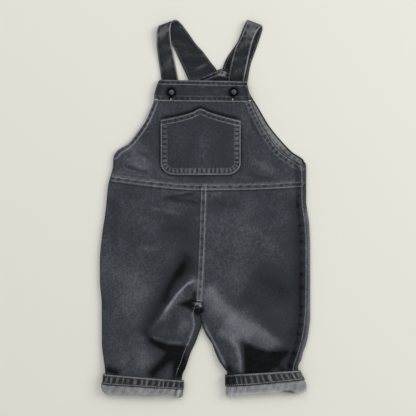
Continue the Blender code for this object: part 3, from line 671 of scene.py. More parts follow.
# dark rim along the back bib's rolled edge: painted shade
BACK_RIM = Stroke(edge_points(OUTER_EDGE[Leg.LEFT], 60, 192, 22, -2.6), 0.0, -1.0, 1.9, 2.0)
HIDDEN_ARMHOLE = Seam(
    edge_points(BACK_BIB_EDGE, 80, 192, 18), (-2.0, -7.6), (-8.6, 2.5), 0.6, 0.25, 8.0, 0.5, 0.8,
    (0.3, 0.3), 1.9,
)
ROOF_SEAM = Seam(
    ((-22.0, 200.3), (24.4, 219.5), (68.0, 199.4)), (-2.2, -7.6), (-8.4, 3.0), 0.35, 0.2, 9.0,
      0.7, 0.8,
    (0.5, 0.5), 0.4,
)
TOP_SEAMS = (WAIST_SEAM, CENTRE_SEAM, SIDE_SEAM, INSEAM, LEFT_ARMHOLE, RIGHT_ARMHOLE)
BACK_SEAMS = (WAIST_SEAM, CENTRE_SEAM, BACK_ARMHOLE, HIDDEN_ARMHOLE)


def bib_top_shift(x: np.ndarray, y: Numbers) -> np.ndarray:
    """How far the bib's rows rise towards its top, which drops towards the wearer's left."""
    return (3.6 - 0.024 * (x + 74.0)) * smooth((y - 140.0) / 50.0)


def level_points(y: float, start: float, end: float) -> tuple:
    """Points along a row of the bib near its top."""
    xs = np.linspace(start, end, 20)
    return tuple((float(x), float(y + shift)) for x, shift in zip(xs, bib_top_shift(xs, y)))


# y of the band's lower edge, which hangs a little below the solid's
BAND_LOW = 166.9
BAND_TOP = Seam(
    level_points(198.5, -72, 66), (-1.0, -6.4), (-7.4, 0.2), 0.35, 0.25, 7.5, 0.55, 0.0, (0.1,
    0.35), 0.8,
)
BAND_BOTTOM = Seam(
    level_points(BAND_LOW, -80, 71), (0.9, 8.0), (0.1, 9.2), 0.3, 0.3, 8.5, 0.6, -0.8, (0.55,
    0.0), 1.7,
    0.0, 0.0, 0.2,
)


def xy(grid: np.ndarray) -> tuple[np.ndarray, np.ndarray]:
    """The x and the y of every place of a grid."""
    return grid[:, :, 0], grid[:, :, 1]


class LaidForm:
    """Shape of the whole garment as it lies: heights of its lower and upper layers."""

    def inner_x(self, leg: Leg, y: Numbers) -> np.ndarray:
        """Inner edge of a leg, or the centre seam above the place where the legs part."""
        return np.where(np.asarray(y) >= LEG_PART_Y, CENTRE_EDGE.at(y), INNER_EDGE[leg].at(y))

    def floor(self, y: Numbers) -> np.ndarray:
        """Height of the lower layer's middle: on the ground, but lifted onto the cuff's layers.

        Args:
            y: Places along.

        Returns:
            The heights.
        """
        lifted = 3.6 * smooth((-225.0 - y) / 37.0)
        settled = 1.5 * smooth((-280.0 - y) / 12.0)
        return WALL / 2 + lifted - settled

    def folds(self, x: np.ndarray, y: np.ndarray) -> np.ndarray:
        """Rise from the main folds: the highest ridge and the deepest trough at each place.

        Args:
            x: Places across.
            y: Places along.

        Returns:
            The rise in millimetres.
        """
        changes = np.array([fold.change(x, y) for fold in MAIN_FOLDS])
        calmed = 1.0 - 0.75 * smooth((-246.0 - y) / 14.0)
        highest, deepest = changes.max(axis=0), changes.min(axis=0)
        return calmed * (np.maximum(highest, 0.0) + np.minimum(deepest, 0.0))

    def _edge_terms(self, x: np.ndarray, y: np.ndarray) -> tuple[np.ndarray, np.ndarray]:
        """Puff across the width, and the fade of folds towards the edges.

        Args:
            x: Places across.
            y: Places along.

        Returns:
            The puff in millimetres, and the fade from 0 to 1.
        """
        inner_left = self.inner_x(Leg.LEFT, y)
        on_left = x > inner_left
        outer = np.where(on_left, OUTER_EDGE[Leg.LEFT].at(y), OUTER_EDGE[Leg.RIGHT].at(y))
        inner = np.where(on_left, inner_left, self.inner_x(Leg.RIGHT, y))
        leg_low, leg_high = np.minimum(outer, inner), np.maximum(outer, inner)
        low, high = OUTER_EDGE[Leg.RIGHT].at(y), OUTER_EDGE[Leg.LEFT].at(y)
        parted = smooth((-110.0 - y) / 60.0)

        def dome(start: np.ndarray, end: np.ndarray) -> np.ndarray:
            """1 across most of a width, falling to 0 at its edges."""
            return np.maximum(0.0, 1.0 - ((2.0 * x - start - end) / (end - start)) ** 4)

        puffed = mix(dome(low, high), dome(leg_low, leg_high), parted)
        puff = 3.0 * puffed * (1.0 - smooth((y - 20.0) / 50.0))
        to_side = np.minimum(x - low, high - x)
        to_leg_side = np.minimum(x - leg_low, leg_high - x)
        return puff, mix(smooth(to_side / 12.0), smooth(to_leg_side / 12.0), parted)

    def top(self, x: np.ndarray, y: np.ndarray) -> np.ndarray:
        """Height of the upper layer's middle, without the small creases and the seams.

        Args:
            x: Places across.
            y: Places along.

        Returns:
            The heights in millimetres.
        """
        x, y = np.broadcast_arrays(np.asarray(x, dtype=float), np.asarray(y, dtype=float))
        puff, fade = self._edge_terms(x, y)
        over_cuff = 3.2 * smooth((-215.0 - y) / 45.0)
        on_strap = 4.0 * smooth((x + 60.0) / 85.0) * smooth((y - 95.0) / 60.0)
        height = 5.0 - 0.4 * smooth((y - 60.0) / 60.0) + over_cuff + on_strap
        height = height + puff + fade * self.folds(x, y)
        return np.maximum(height, self.floor(y) + 2.0)

    def fine(self, x: np.ndarray, y: np.ndarray) -> tuple[np.ndarray, np.ndarray]:
        """Small creases, seams, wear and painted shading of the upper layer.

        Args:
            x: Places across.
            y: Places along.

        Returns:
            The added height in millimetres, and the wear and painted shading from -1, dark, to 1, pale.
        """
        _, fade = self._edge_terms(x, y)
        calmed = 1.0 - 0.8 * smooth((-256.0 - y) / 10.0)
        rise, wear_and_shading = self.swell(x, y), np.zeros(x.shape)
        for stroke in STROKES + (SIDE_STRIP, INSEAM_STRIP, INSEAM_RIM, WAIST_SHINE):
            share = stroke.change(x, y)
            rise = rise + calmed * stroke.rise * share
            wear_and_shading = wear_and_shading + stroke.wear_and_shading * share
        for hollow in HOLLOWS:
            wear_and_shading = wear_and_shading + hollow.change(x, y)
        for patch in WEAR_AND_SHADE_PATCHES:
            wear_and_shading = wear_and_shading + patch.change(x, y)
        rise = rise * fade
        for seam in TOP_SEAMS:
            seam_rise, seam_wear_and_shading = seam.relief(x, y)
            rise, wear_and_shading = rise + calmed * seam_rise, wear_and_shading + seam_wear_and_shading
        return rise, np.clip(wear_and_shading, -1.0, 1.0)

    def back(self, x: np.ndarray, y: np.ndarray) -> tuple[np.ndarray, np.ndarray]:
        """Small creases, seams, wear and painted seam shade of the layer on the ground.

        Args:
            x: Places across.
            y: Places along.

        Returns:
            How far it lifts off the ground in millimetres, and its wear and painted seam shade.
        """
        rise, wear_and_shading = np.maximum(self.swell(1.3 * x, y), 0.0), np.zeros(x.shape)
        for stroke in BACK_STROKES:
            share = stroke.change(x, y)
            rise, wear_and_shading = rise + stroke.rise * share, wear_and_shading + stroke.wear_and_shading * share
        for seam in BACK_SEAMS:
            seam_rise, seam_wear_and_shading = seam.relief(x, y)
            rise, wear_and_shading = rise + np.maximum(-seam_rise, 0.0), wear_and_shading + seam_wear_and_shading
        return rise, np.clip(wear_and_shading, -1.0, 1.0)

    def swell(self, x: np.ndarray, y: np.ndarray) -> np.ndarray:
        """Low uneven swells of the lying cloth."""
        return sum(height * np.sin(kx * x + ky * y + phase) for kx, ky, height, phase in SWELLS)


class Tube:
    """Section of one leg, or of its half of the body, across the garment at one y.

    A place on it is a length: from 0 at the top of the outer edge inwards over the top, then down
    round the inner edge and back along the ground, and negative the other way round.
    """

    def __init__(self, form: LaidForm, leg: Leg, y: float, lift: float = 0.0) -> None:
        """Works out the section's sizes.

        Args:
            form: The garment's shape.
            leg: Which leg.
            y: Place of the section.
            lift: How far outside the leg's own layer it lies.
        """
        self.form, self.leg, self.y, self.lift, self.sign = form, leg, y, lift, leg.sign
        self.closed = float(smooth((CROTCH_Y - y) / CROTCH_CLOSE))
        self.outer = float(OUTER_EDGE[leg].at(y)) - self.sign * (WALL / 2 - lift)
        to_inner = self.closed * (HALF_GAP + WALL / 2) - lift
        self.inner = float(form.inner_x(leg, y)) + self.sign * to_inner
        self.floor = float(form.floor(y)) - lift
        # each roll's radius is read a little inside its edge
        within = 2.5 * self.sign
        self.outer_round = self._round_at(self.outer - within)
        self.inner_round = self._round_at(self.inner + within * self.closed)
        width = abs(self.outer - self.inner)
        self.top = width - self.outer_round - self.closed * self.inner_round
        self.inner_turn = math.pi * self.inner_round
        self.outer_turn = math.pi * self.outer_round
        self.round_trip = 2.0 * self.top + self.inner_turn + self.outer_turn

    def _round_at(self, x: float) -> float:
        """Radius of the roll at an edge."""
        return (float(self.form.top(x, self.y)) + self.lift - self.floor) / 2

    def place(self, length: np.ndarray) -> tuple[np.ndarray, np.ndarray, np.ndarray]:
        """Places round the section.

        Args:
            length: Lengths from the top of the outer edge.

        Returns:
            The x and z of each, and its share of the top's small relief.
        """
        under = self.inner_turn + self.top
        for limit in (self.round_trip / 2 + under, under + self.top):
            length = np.where(length > limit, length - self.round_trip, length)
        roll, inner_roll = self.outer_round, self.inner_round
        under = length < -self.outer_turn
        on_roll = (length < 0.0) & ~under
        on_top = (length >= 0.0) & (length <= self.top)
        beyond = length - self.top
        on_inner = (beyond > 0.0) & (beyond < self.inner_turn)
        angle = np.clip(-length / roll, 0.0, math.pi)
        inner_angle = np.clip(beyond / inner_roll, 0.0, math.pi)
        top_x = self.outer - self.sign * (roll + length)
        x = np.select(
            [under, on_roll, on_top, on_inner],
            [
                self.outer - self.sign * (roll - length - self.outer_turn),
                self.outer - self.sign * roll * (1.0 - np.sin(angle)),
                top_x,
                self.inner + self.sign * self.closed * inner_roll * (1.0 - np.sin(inner_angle)),
            ],
            self.inner + self.sign * (self.closed * inner_roll + beyond - self.inner_turn),
        )
        z = np.select(
            [under, on_roll, on_top, on_inner],
            [
                np.full(length.shape, self.floor),
                self.floor + roll * (1.0 + np.cos(angle)),
                self.form.top(top_x, self.y) + self.lift,
                self.floor + inner_roll * (1.0 + np.cos(inner_angle)),
            ],
            self.floor,
        )
        fade = smooth(length / 6.0) * mix(1.0, smooth((self.top - length) / 6.0), self.closed)
        return x, z, np.where(on_top, fade, 0.0)


def waist_shift(x: np.ndarray, y: float) -> np.ndarray:
    """How far rows near the waist move along Y to follow its line."""
    nearness = 1.0 - smooth(abs(y - WAIST_Y) / 45.0)
    return (WAIST_LINE.at(x) - WAIST_Y) * nearness


def cuff_y(leg: Leg, x: np.ndarray, level: float) -> np.ndarray:
    """y of a level of the cuff: 0 the hem strip's top, 1 its bottom, 2 the turned edge.

    Args:
        leg: Which leg.
        x: Places across.
        level: Level on the cuff.

    Returns:
        y at each x.
    """
    bottom = HEM_BOTTOM_LINE[leg].at(x)
    if level <= 1.0:
        return mix(HEM_TOP_LINE[leg].at(x), bottom, level)
    return mix(bottom, TURN_LINE[leg].at(x) + WALL / 2, level - 1.0)


def srgb(colour: str) -> tuple[float, float, float, float]:
    """Linear colour of an sRGB hex value.

    Args:
        colour: Six hex digits after a hash.

    Returns:
        Red, green, blue and an alpha of 1.
    """
    parts = [int(colour[i:i + 2], 16) / 255.0 for i in (1, 3, 5)]
    linear = [c / 12.92 if c <= 0.04045 else ((c + 0.055) / 1.055) ** 2.4 for c in parts]
    return (linear[0], linear[1], linear[2], 1.0)


def add_node(
    tree: bpy.types.NodeTree, kind: str, settings: dict | None = None, links: dict | None = None,
) -> bpy.types.Node:
    """Adds a node with its settings and links.

    Args:
        tree: The material's node tree.
        kind: The node's type name.
        settings: Node properties, or input values by name or number.
        links: Output sockets by input name or number.

    Returns:
        The new node.
    """
    node = tree.nodes.new(kind)
    for name, value in (settings or {}).items():
        if isinstance(name, str) and hasattr(node, name):
            setattr(node, name, value)
        else:
            node.inputs[name].default_value = value
    for name, socket in (links or {}).items():
        tree.links.new(socket, node.inputs[name])
    return node


def new_material(name: str) -> tuple[bpy.types.Material, bpy.types.NodeTree]:
    """An empty material and its tree.

    Args:
        name: The material's name.

    Returns:
        The material and its node tree without any nodes.
    """
    material = bpy.data.materials.new(name)
    material.use_nodes = True
    material.node_tree.nodes.clear()
    return material, material.node_tree


def end_material(
    tree: bpy.types.NodeTree, tone: bpy.types.NodeSocket, stops: tuple, settings: dict,
    relief: tuple | None = None, links: dict | None = None,
) -> None:
    """Ends a material: a ramp that colours its tone, its relief, its shader and its output.

    Args:
        tree: The material's node tree.
        tone: Value from 0 to 1 for the ramp.
        stops: Place and colour of each stop of the ramp.
        settings: The shader's input values.
        relief: Strength, depth in metres and height socket of the bump.
        links: More output sockets by the shader's input name.
    """
    ramp = add_node(tree, "ShaderNodeValToRGB", links={"Fac": tone})
    elements = ramp.color_ramp.elements
    elements[0].position, elements[1].position = stops[0][0], stops[-1][0]
    for place, _ in stops[1:-1]:
        elements.new(place)
    for element, (_, colour) in zip(elements, stops):
        element.color = colour
    sockets = {"Base Color": ramp.outputs["Color"], **(links or {})}
    if relief:
        strength, depth, height = relief
        bump = add_node(
            tree, "ShaderNodeBump", {"Strength": strength, "Distance": depth}, {"Height": height},
        )
        sockets["Normal"] = bump.outputs["Normal"]
    shader = add_node(tree, "ShaderNodeBsdfPrincipled", settings, sockets)
    add_node(tree, "ShaderNodeOutputMaterial", links={"Surface": shader.outputs["BSDF"]})


@dataclass(frozen=True)
class Denim:
    """Three-thread twill, stone-washed: dull and matt, paler where it rubs, darker where it folds, with
    painted shade in folds and hollows and painted highlights on ridges and edges.

    Real wales are about 0.6 mm apart. They are drawn 1.9 mm apart, because finer ones vanish in
    the render.
    """

    name: str
    cloth: str
    # worn and deep are the ramp's pale and dark ends: wear reaches them, and so do painted highlights and
    # painted shade
    worn: str
    deep: str
    twill_mm: float = 1.9
    slub_mm: float = 2.4
    mottle: float = 0.30
    bump: float = 0.35
    roughness: float = 0.9

    def material(self) -> bpy.types.Material:
        """Builds the material.

        Returns:
            A material that reads the piece's own UV map, its attribute of wear and painted shading, and
            Object coordinates.
        """
        material, tree = new_material(self.name)
        uv = add_node(tree, "ShaderNodeUVMap", {"uv_map": "cloth"})
        place = add_node(tree, "ShaderNodeTexCoord")
        wear_and_shading = add_node(tree, "ShaderNodeAttribute", {"attribute_name": "wear_and_shading"})
        per_metre = 1000.0
        turned = add_node(
            tree, "ShaderNodeMapping", {"Rotation": (0.0, 0.0, math.radians(27.0))},
            {"Vector": uv.outputs["UV"]},
        )
        twill = add_node(
            tree, "ShaderNodeTexWave",
            {"Scale": per_metre / self.twill_mm / 3.18, "Distortion": 2.2, "Detail": 2.0,
             "Detail Scale": 1.6},
            {"Vector": turned.outputs["Vector"]},
        )
        stretched = add_node(
            tree, "ShaderNodeMapping", {"Scale": (1.0, 0.30, 1.0)}, {"Vector": uv.outputs["UV"]},
        )
        slub = add_node(
            tree, "ShaderNodeTexNoise",
            {"Scale": per_metre / self.slub_mm, "Detail": 3.0, "Roughness": 0.65},
            {"Vector": stretched.outputs["Vector"]},
        )
        grain = add_node(
            tree, "ShaderNodeTexNoise", {"Scale": per_metre / 3.4, "Detail": 4.0, "Roughness": 0.7},
            {"Vector": place.outputs["Object"]},
        )
        cloud = add_node(
            tree, "ShaderNodeTexNoise", {"Scale": per_metre / 42.0, "Detail": 4.0, "Roughness": 0.6},
            {"Vector": place.outputs["Object"]},
        )
        # each texture adds its share: the bump takes the first three, the colour all four
        sums: list[bpy.types.NodeSocket] = []
        for texture, share in ((twill, 0.35), (slub, 0.55), (grain, 1.1), (cloud, 0.8)):
            before = {2: sums[-1]} if sums else {}
            added = add_node(
                tree, "ShaderNodeMath", {"operation": "MULTIPLY_ADD", 1: share, 2: 0.0},
                {0: texture.outputs["Fac"], **before},
            )
            sums.append(added.outputs["Value"])
        mottled = add_node(
            tree, "ShaderNodeMapRange",
            {"From Min": 0.92, "From Max": 1.92, "To Min": -self.mottle, "To Max": self.mottle,
             "clamp": False},
            {"Value": sums[3]},
        )
        # mottle plus the attribute of wear and painted shading
        worn = add_node(
            tree, "ShaderNodeMath", {"operation": "ADD"},
            {0: mottled.outputs["Result"], 1: wear_and_shading.outputs["Fac"]},
        )
        amount = add_node(
            tree, "ShaderNodeMapRange", {"From Min": -1.0, "From Max": 1.0},
            {"Value": worn.outputs["Value"]},
        )
        end_material(
            tree, amount.outputs["Result"],
            ((0.0, srgb(self.deep)), (0.5, srgb(self.cloth)), (1.0, srgb(self.worn))),
            {"Roughness": self.roughness, "Sheen Weight": 0.04, "Sheen Roughness": 0.6,
             "Specular IOR Level": 0.10},
            (self.bump, 0.0006, sums[2]),
        )
        return material


@dataclass(frozen=True)
class Thread:
    """Spun polyester sewing thread, dulled by the wash: pale grey, matt, with a fine twist."""

    name: str = "washed_sewing_thread"
    pale: str = "#aeb0b1"
    dull: str = "#63666a"

    def material(self) -> bpy.types.Material:
        """Builds the material.

        Returns:
            A material that is paler and duller from stitch to stitch.
        """
        material, tree = new_material(self.name)
        place = add_node(tree, "ShaderNodeTexCoord")
        change = add_node(
            tree, "ShaderNodeTexNoise", {"Scale": 160.0, "Detail": 3.0},
            {"Vector": place.outputs["Object"]},
        )
        twist = add_node(
            tree, "ShaderNodeTexNoise", {"Scale": 2600.0, "Detail": 1.0},
            {"Vector": place.outputs["Object"]},
        )
        end_material(
            tree, change.outputs["Fac"], ((0.36, srgb(self.dull)), (0.66, srgb(self.pale))),
            {"Roughness": 0.75, "Sheen Weight": 0.1}, (0.5, 0.0002, twist.outputs["Fac"]),
        )
        return material


@dataclass(frozen=True)
class Gunmetal:
    """Pressed steel with dark gunmetal plating: a satin grey sheen with cloudy paler patches. Its paler
    copy on the buttons' raised centres is rubbing and a painted highlight.
    """

    name: str = "gunmetal_plating"
    dark: str = "#0b0c0e"
    rubbed_and_lit: str = "#212327"

    def material(self) -> bpy.types.Material:
        """Builds the material.

        Returns:
            A metal with cloudy wear and fine pits.
        """
        material, tree = new_material(self.name)
        place = add_node(tree, "ShaderNodeTexCoord")
        cloud = add_node(
            tree, "ShaderNodeTexNoise", {"Scale": 420.0, "Detail": 5.0, "Roughness": 0.7},
            {"Vector": place.outputs["Object"]},
        )
        rough = add_node(
            tree, "ShaderNodeMapRange", {"To Min": 0.30, "To Max": 0.52}, {"Value": cloud.outputs["Fac"]},
        )
        end_material(
            tree, cloud.outputs["Fac"], ((0.42, srgb(self.dark)), (0.75, srgb(self.rubbed_and_lit))),
            {"Metallic": 1.0}, (0.15, 0.0002, cloud.outputs["Fac"]),
            {"Roughness": rough.outputs["Result"]},
        )
        return material


@dataclass(frozen=True)
class Paper:
    """Matt pale paper sweep under the garment."""

    name: str = "paper_floor"
    colour: str = "#ebeae2"
    faint: float = 0.985

    def material(self) -> bpy.types.Material:
        """Builds the material.

        Returns:
            A matt material whose tone changes very faintly.
        """
        material, tree = new_material(self.name)
        place = add_node(tree, "ShaderNodeTexCoord")
        cloud = add_node(
            tree, "ShaderNodeTexNoise", {"Scale": 3.0}, {"Vector": place.outputs["Object"]},
        )
        duller = tuple(c * self.faint for c in srgb(self.colour)[:3]) + (1.0,)
        end_material(
            tree, cloud.outputs["Fac"], ((0.0, duller), (1.0, srgb(self.colour))),
            {"Roughness": 0.95, "Specular IOR Level": 0.1},
        )
        return material


@dataclass(frozen=True)
class Finishes:
    """The materials that the pieces share."""

    outside: bpy.types.Material
    inside: bpy.types.Material
    strap: bpy.types.Material
    hem: bpy.types.Material
    thread: bpy.types.Material
    worn_thread: bpy.types.Material
    tack: bpy.types.Material
    metal: bpy.types.Material
    # paler copy of the plating for the buttons' raised centres: rubbing and a painted highlight
    rubbed_and_lit: bpy.types.Material
    paper: bpy.types.Material


def make_finishes() -> Finishes:
    """Builds every material once.

    Returns:
        The shared materials.
    """
    return Finishes(
        outside=Denim("washed_denim", "#363a41", "#8c9098", "#050608").material(),
        inside=Denim(
            "denim_wrong_side", "#85878a", "#b4b6b7", "#232528", mottle=0.36, slub_mm=4.6,
        ).material(),
        strap=Denim("strap_denim", "#2b2e33", "#888b90", "#060708").material(),
        hem=Denim("hem_denim", "#2a2d31", "#9a9c9f", "#08090a").material(),
        thread=Thread().material(),
        worn_thread=Thread("worn_thread", "#74767a", "#36393d").material(),
        tack=Thread("bar_tack_thread", "#c4c6c8", "#8f9193").material(),
        metal=Gunmetal().material(),
        rubbed_and_lit=Gunmetal("rub_and_highlight_gunmetal", "#474a50", "#767980").material(),
        paper=Paper().material(),
    )


def add_piece(name: str, mesh: bpy.types.Mesh, slot: str, *nodes: str) -> bpy.types.Object:
    """Adds a mesh as a piece that rides on the garment's body.

    Args:
        name: The piece's name.
        mesh: Its mesh.
        slot: Not used.
        nodes: The solids that it stands for.

    Returns:
        The new object.
    """
    piece = bpy.data.objects.new(name, mesh)
    bpy.context.scene.collection.objects.link(piece)
    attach(piece, BODY)
    if nodes:
        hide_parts(*nodes)
    return piece


def select_only(piece: bpy.types.Object) -> None:
    """Makes a piece the active and the only selected object.

    Args:
        piece: The piece.
    """
    bpy.ops.object.select_all(action="DESELECT")
    piece.select_set(True)
    bpy.context.view_layer.objects.active = piece


class ClothSheet:
    """A piece of cloth as a grid of places on its middle surface, made into a closed thin shell."""

    def __init__(
        self, name: str, grid: np.ndarray, wall: Numbers, outward: np.ndarray,
        wear_and_shading: np.ndarray | None = None, ring: bool = False, inner_wear_and_shading: np.ndarray | None = None,
    ) -> None:
        """Holds the grid and works out its normals.

        Args:
            name: The piece's name.
            grid: Rows by columns by 3, in millimetres.
            wall: Thickness, one or for each place.
            outward: A vector near the outer side's normal at the grid's middle.
            wear_and_shading: Wear and painted shading at each place, or none.
            ring: Whether the columns close round.
            inner_wear_and_shading: Wear and painted shading of the inner side, or the same but weaker.
        """
        self.name, self.grid, self.ring = name, grid, ring
        rows, columns = grid.shape[:2]
        self.wall = np.broadcast_to(np.asarray(wall, dtype=float), (rows, columns))
        self.wear_and_shading = np.zeros((rows, columns)) if wear_and_shading is None else wear_and_shading
        self.inner_wear_and_shading = 0.4 * self.wear_and_shading if inner_wear_and_shading is None else inner_wear_and_shading
        self.normals = self._normals(outward)

    def _normals(self, outward: np.ndarray) -> np.ndarray:
        """Unit normals of the middle surface, on the outer side.

        Args:
            outward: A vector near the outer side's normal at the grid's middle.

        Returns:
            A normal for each place.
        """
        if self.ring:
            wide = np.concatenate([self.grid[:, -1:], self.grid, self.grid[:, :1]], axis=1)
            across = (wide[:, 2:] - wide[:, :-2]) / 2
        else:
            across = np.gradient(self.grid, axis=1)
        along = np.gradient(self.grid, axis=0)
        normals = np.cross(across, along)
        normals /= np.maximum(np.linalg.norm(normals, axis=2, keepdims=True), 1e-9)
        middle = normals[normals.shape[0] // 2, normals.shape[1] // 2]
        return -normals if float(np.dot(middle, outward)) < 0.0 else normals

    def flat_area(self) -> float:
        """Area of the middle surface in square metres.

        Returns:
            The area.
        """
        g = np.concatenate([self.grid, self.grid[:, :1]], axis=1) if self.ring else self.grid
        a, b = g[1:, 1:] - g[:-1, :-1], g[1:, :-1] - g[:-1, 1:]
        return float(np.linalg.norm(np.cross(a, b), axis=2).sum()) / 2.0 * MM * MM

    def _border(self, index: np.ndarray) -> list[np.ndarray]:
        """Loops of grid indices round the free edges.

        Args:
            index: Index of each place of the grid.

        Returns:
            Each loop in order.
        """
        if self.ring:
            return [index[0], index[-1][::-1]]
        return [np.concatenate([index[0, :-1], index[:-1, -1], index[-1, :0:-1], index[:0:-1, 0]])]

    def _outward_edge(self) -> np.ndarray:
        """Direction out of the cloth at each place of its border, in its plane.

        Returns:
            A unit vector for each place.
        """
        out = np.zeros_like(self.grid)
        out[0] += self.grid[0] - self.grid[1]
        out[-1] += self.grid[-1] - self.grid[-2]
        if not self.ring:
            out[:, 0] += self.grid[:, 0] - self.grid[:, 1]
            out[:, -1] += self.grid[:, -1] - self.grid[:, -2]
        return out / np.maximum(np.linalg.norm(out, axis=2, keepdims=True), 1e-9)

    def build(
        self, materials: tuple[bpy.types.Material, bpy.types.Material], slot: str, *nodes: str,
    ) -> bpy.types.Object:
        """Makes the shell.

        Args:
            materials: Finish of the outer side and edges, and of the inner side.
            slot: Not used; it is only passed on to add_piece.
            nodes: The solids that this piece stands for.

        Returns:
            The new object, riding on the garment's body.
        """
        rows, columns = self.grid.shape[:2]
        count = rows * columns
        half = (self.wall / 2)[:, :, None]
        index = np.arange(count).reshape(rows, columns)
        border = self._border(index)
        rounding = 0.35 * self.wall[:, :, None]
        edge_places = (self.grid + self._outward_edge() * rounding).reshape(-1, 3)
        outer = (self.grid + self.normals * half).reshape(-1, 3)
        inner = (self.grid - self.normals * half).reshape(-1, 3)
        loops = np.concatenate(border)
        verts = np.concatenate([outer, inner, edge_places[loops]]) * MM
        next_column = np.roll(index, -1, axis=1)
        if not self.ring:
            next_column = next_column[:, :-1]
        these = index if self.ring else index[:, :-1]
        corners = [these[:-1], next_column[:-1], next_column[1:], these[1:]]
        quads = np.stack(corners, axis=2).reshape(-1, 4)
        faces = [quads, quads[:, ::-1] + count]
        start = 2 * count
        for loop in border:
            rim = np.arange(start, start + len(loop))
            here, there = loop, np.roll(loop, -1)
            rim_there = np.roll(rim, -1)
            faces.append(np.stack([there, here, rim, rim_there], axis=1))
            faces.append(np.stack([rim_there, rim, here + count, there + count], axis=1))
            start += len(loop)
        all_faces = np.concatenate(faces)
        first = verts[all_faces[:, 0]]
        second = np.cross(verts[all_faces[:, 1]] - first, verts[all_faces[:, 2]] - first)
        third = np.cross(verts[all_faces[:, 2]] - first, verts[all_faces[:, 3]] - first)
        if float((first * (second + third)).sum()) < 0.0:
            all_faces = all_faces[:, ::-1]
        mesh = bpy.data.meshes.new(self.name)
        mesh.from_pydata(verts.tolist(), [], all_faces.tolist())
        self._dress(mesh, materials, loops, count, len(quads))
        piece = add_piece(self.name, mesh, slot, *nodes)
        LOG.info("%s: %d faces, %.4f m2 of cloth", self.name, len(all_faces), self.flat_area())
        return piece

    def _dress(self, mesh: bpy.types.Mesh, materials: tuple[bpy.types.Material, bpy.types.Material],
               loops: np.ndarray, count: int, inner_start: int) -> None:
        """Gives the shell its materials, its attribute of wear and painted shading, and its cloth UV map.

        Args:
            mesh: The shell.
            materials: Finish of the outer side and edges, and of the inner side.
            loops: Indices of the border's places.
            count: Places on one side.
            inner_start: Number of the inner side's first face.
        """
        for material in materials:
            mesh.materials.append(material)
        sides = np.zeros(len(mesh.polygons), dtype=np.int32)
        sides[inner_start:2 * inner_start] = 1
        mesh.polygons.foreach_set("material_index", sides)
        mesh.polygons.foreach_set("use_smooth", np.ones(len(mesh.polygons), dtype=bool))
        wear_and_shading = self.wear_and_shading.reshape(-1)
        points = np.concatenate([wear_and_shading, self.inner_wear_and_shading.reshape(-1), wear_and_shading[loops] + 0.25])
        # wear and painted shading, which the denim materials read
        attribute = mesh.attributes.new("wear_and_shading", "FLOAT", "POINT")
        attribute.data.foreach_set("value", points.astype(np.float32))
        steps_u = np.linalg.norm(np.diff(self.grid, axis=1, prepend=self.grid[:, :1]), axis=2)
        steps_v = np.linalg.norm(np.diff(self.grid, axis=0, prepend=self.grid[:1]), axis=2)
        u, v = np.cumsum(steps_u, axis=1).reshape(-1), np.cumsum(steps_v, axis=0).reshape(-1)
        place = np.stack([u, v], axis=1) * MM
        place = np.concatenate([place, place, place[loops]])
        corner = np.empty(len(mesh.loops), dtype=np.int32)
        mesh.loops.foreach_get("vertex_index", corner)
        layer = mesh.uv_layers.new(name="cloth")
        layer.data.foreach_set("uv", place[corner].astype(np.float32).reshape(-1))
        mesh.update()

    def sample(
        self, row: np.ndarray, column: np.ndarray, out: float,
    ) -> tuple[np.ndarray, np.ndarray]:
        """Places on the outer side.

        Args:
            row: Fractional rows.
            column: Fractional columns.
            out: How far outside the middle surface.

        Returns:
            The places and the normals there.
        """
        rows, columns = self.grid.shape[:2]
        row = np.clip(row, 0, rows - 1.001)
        column = np.mod(column, columns) if self.ring else np.clip(column, 0, columns - 1.001)
        r0, c0 = np.floor(row).astype(int), np.floor(column).astype(int)
        r1, c1 = r0 + 1, (c0 + 1) % columns
        fr, fc = (row - r0)[:, None], (column - c0)[:, None]

        def blend(values: np.ndarray) -> np.ndarray:
            """Value between the four nearest places."""
            near, far = (mix(values[r, c0], values[r, c1], fc) for r in (r0, r1))
            return mix(near, far, fr)

        normals = blend(self.normals)
        return blend(self.grid) + normals * out, normals


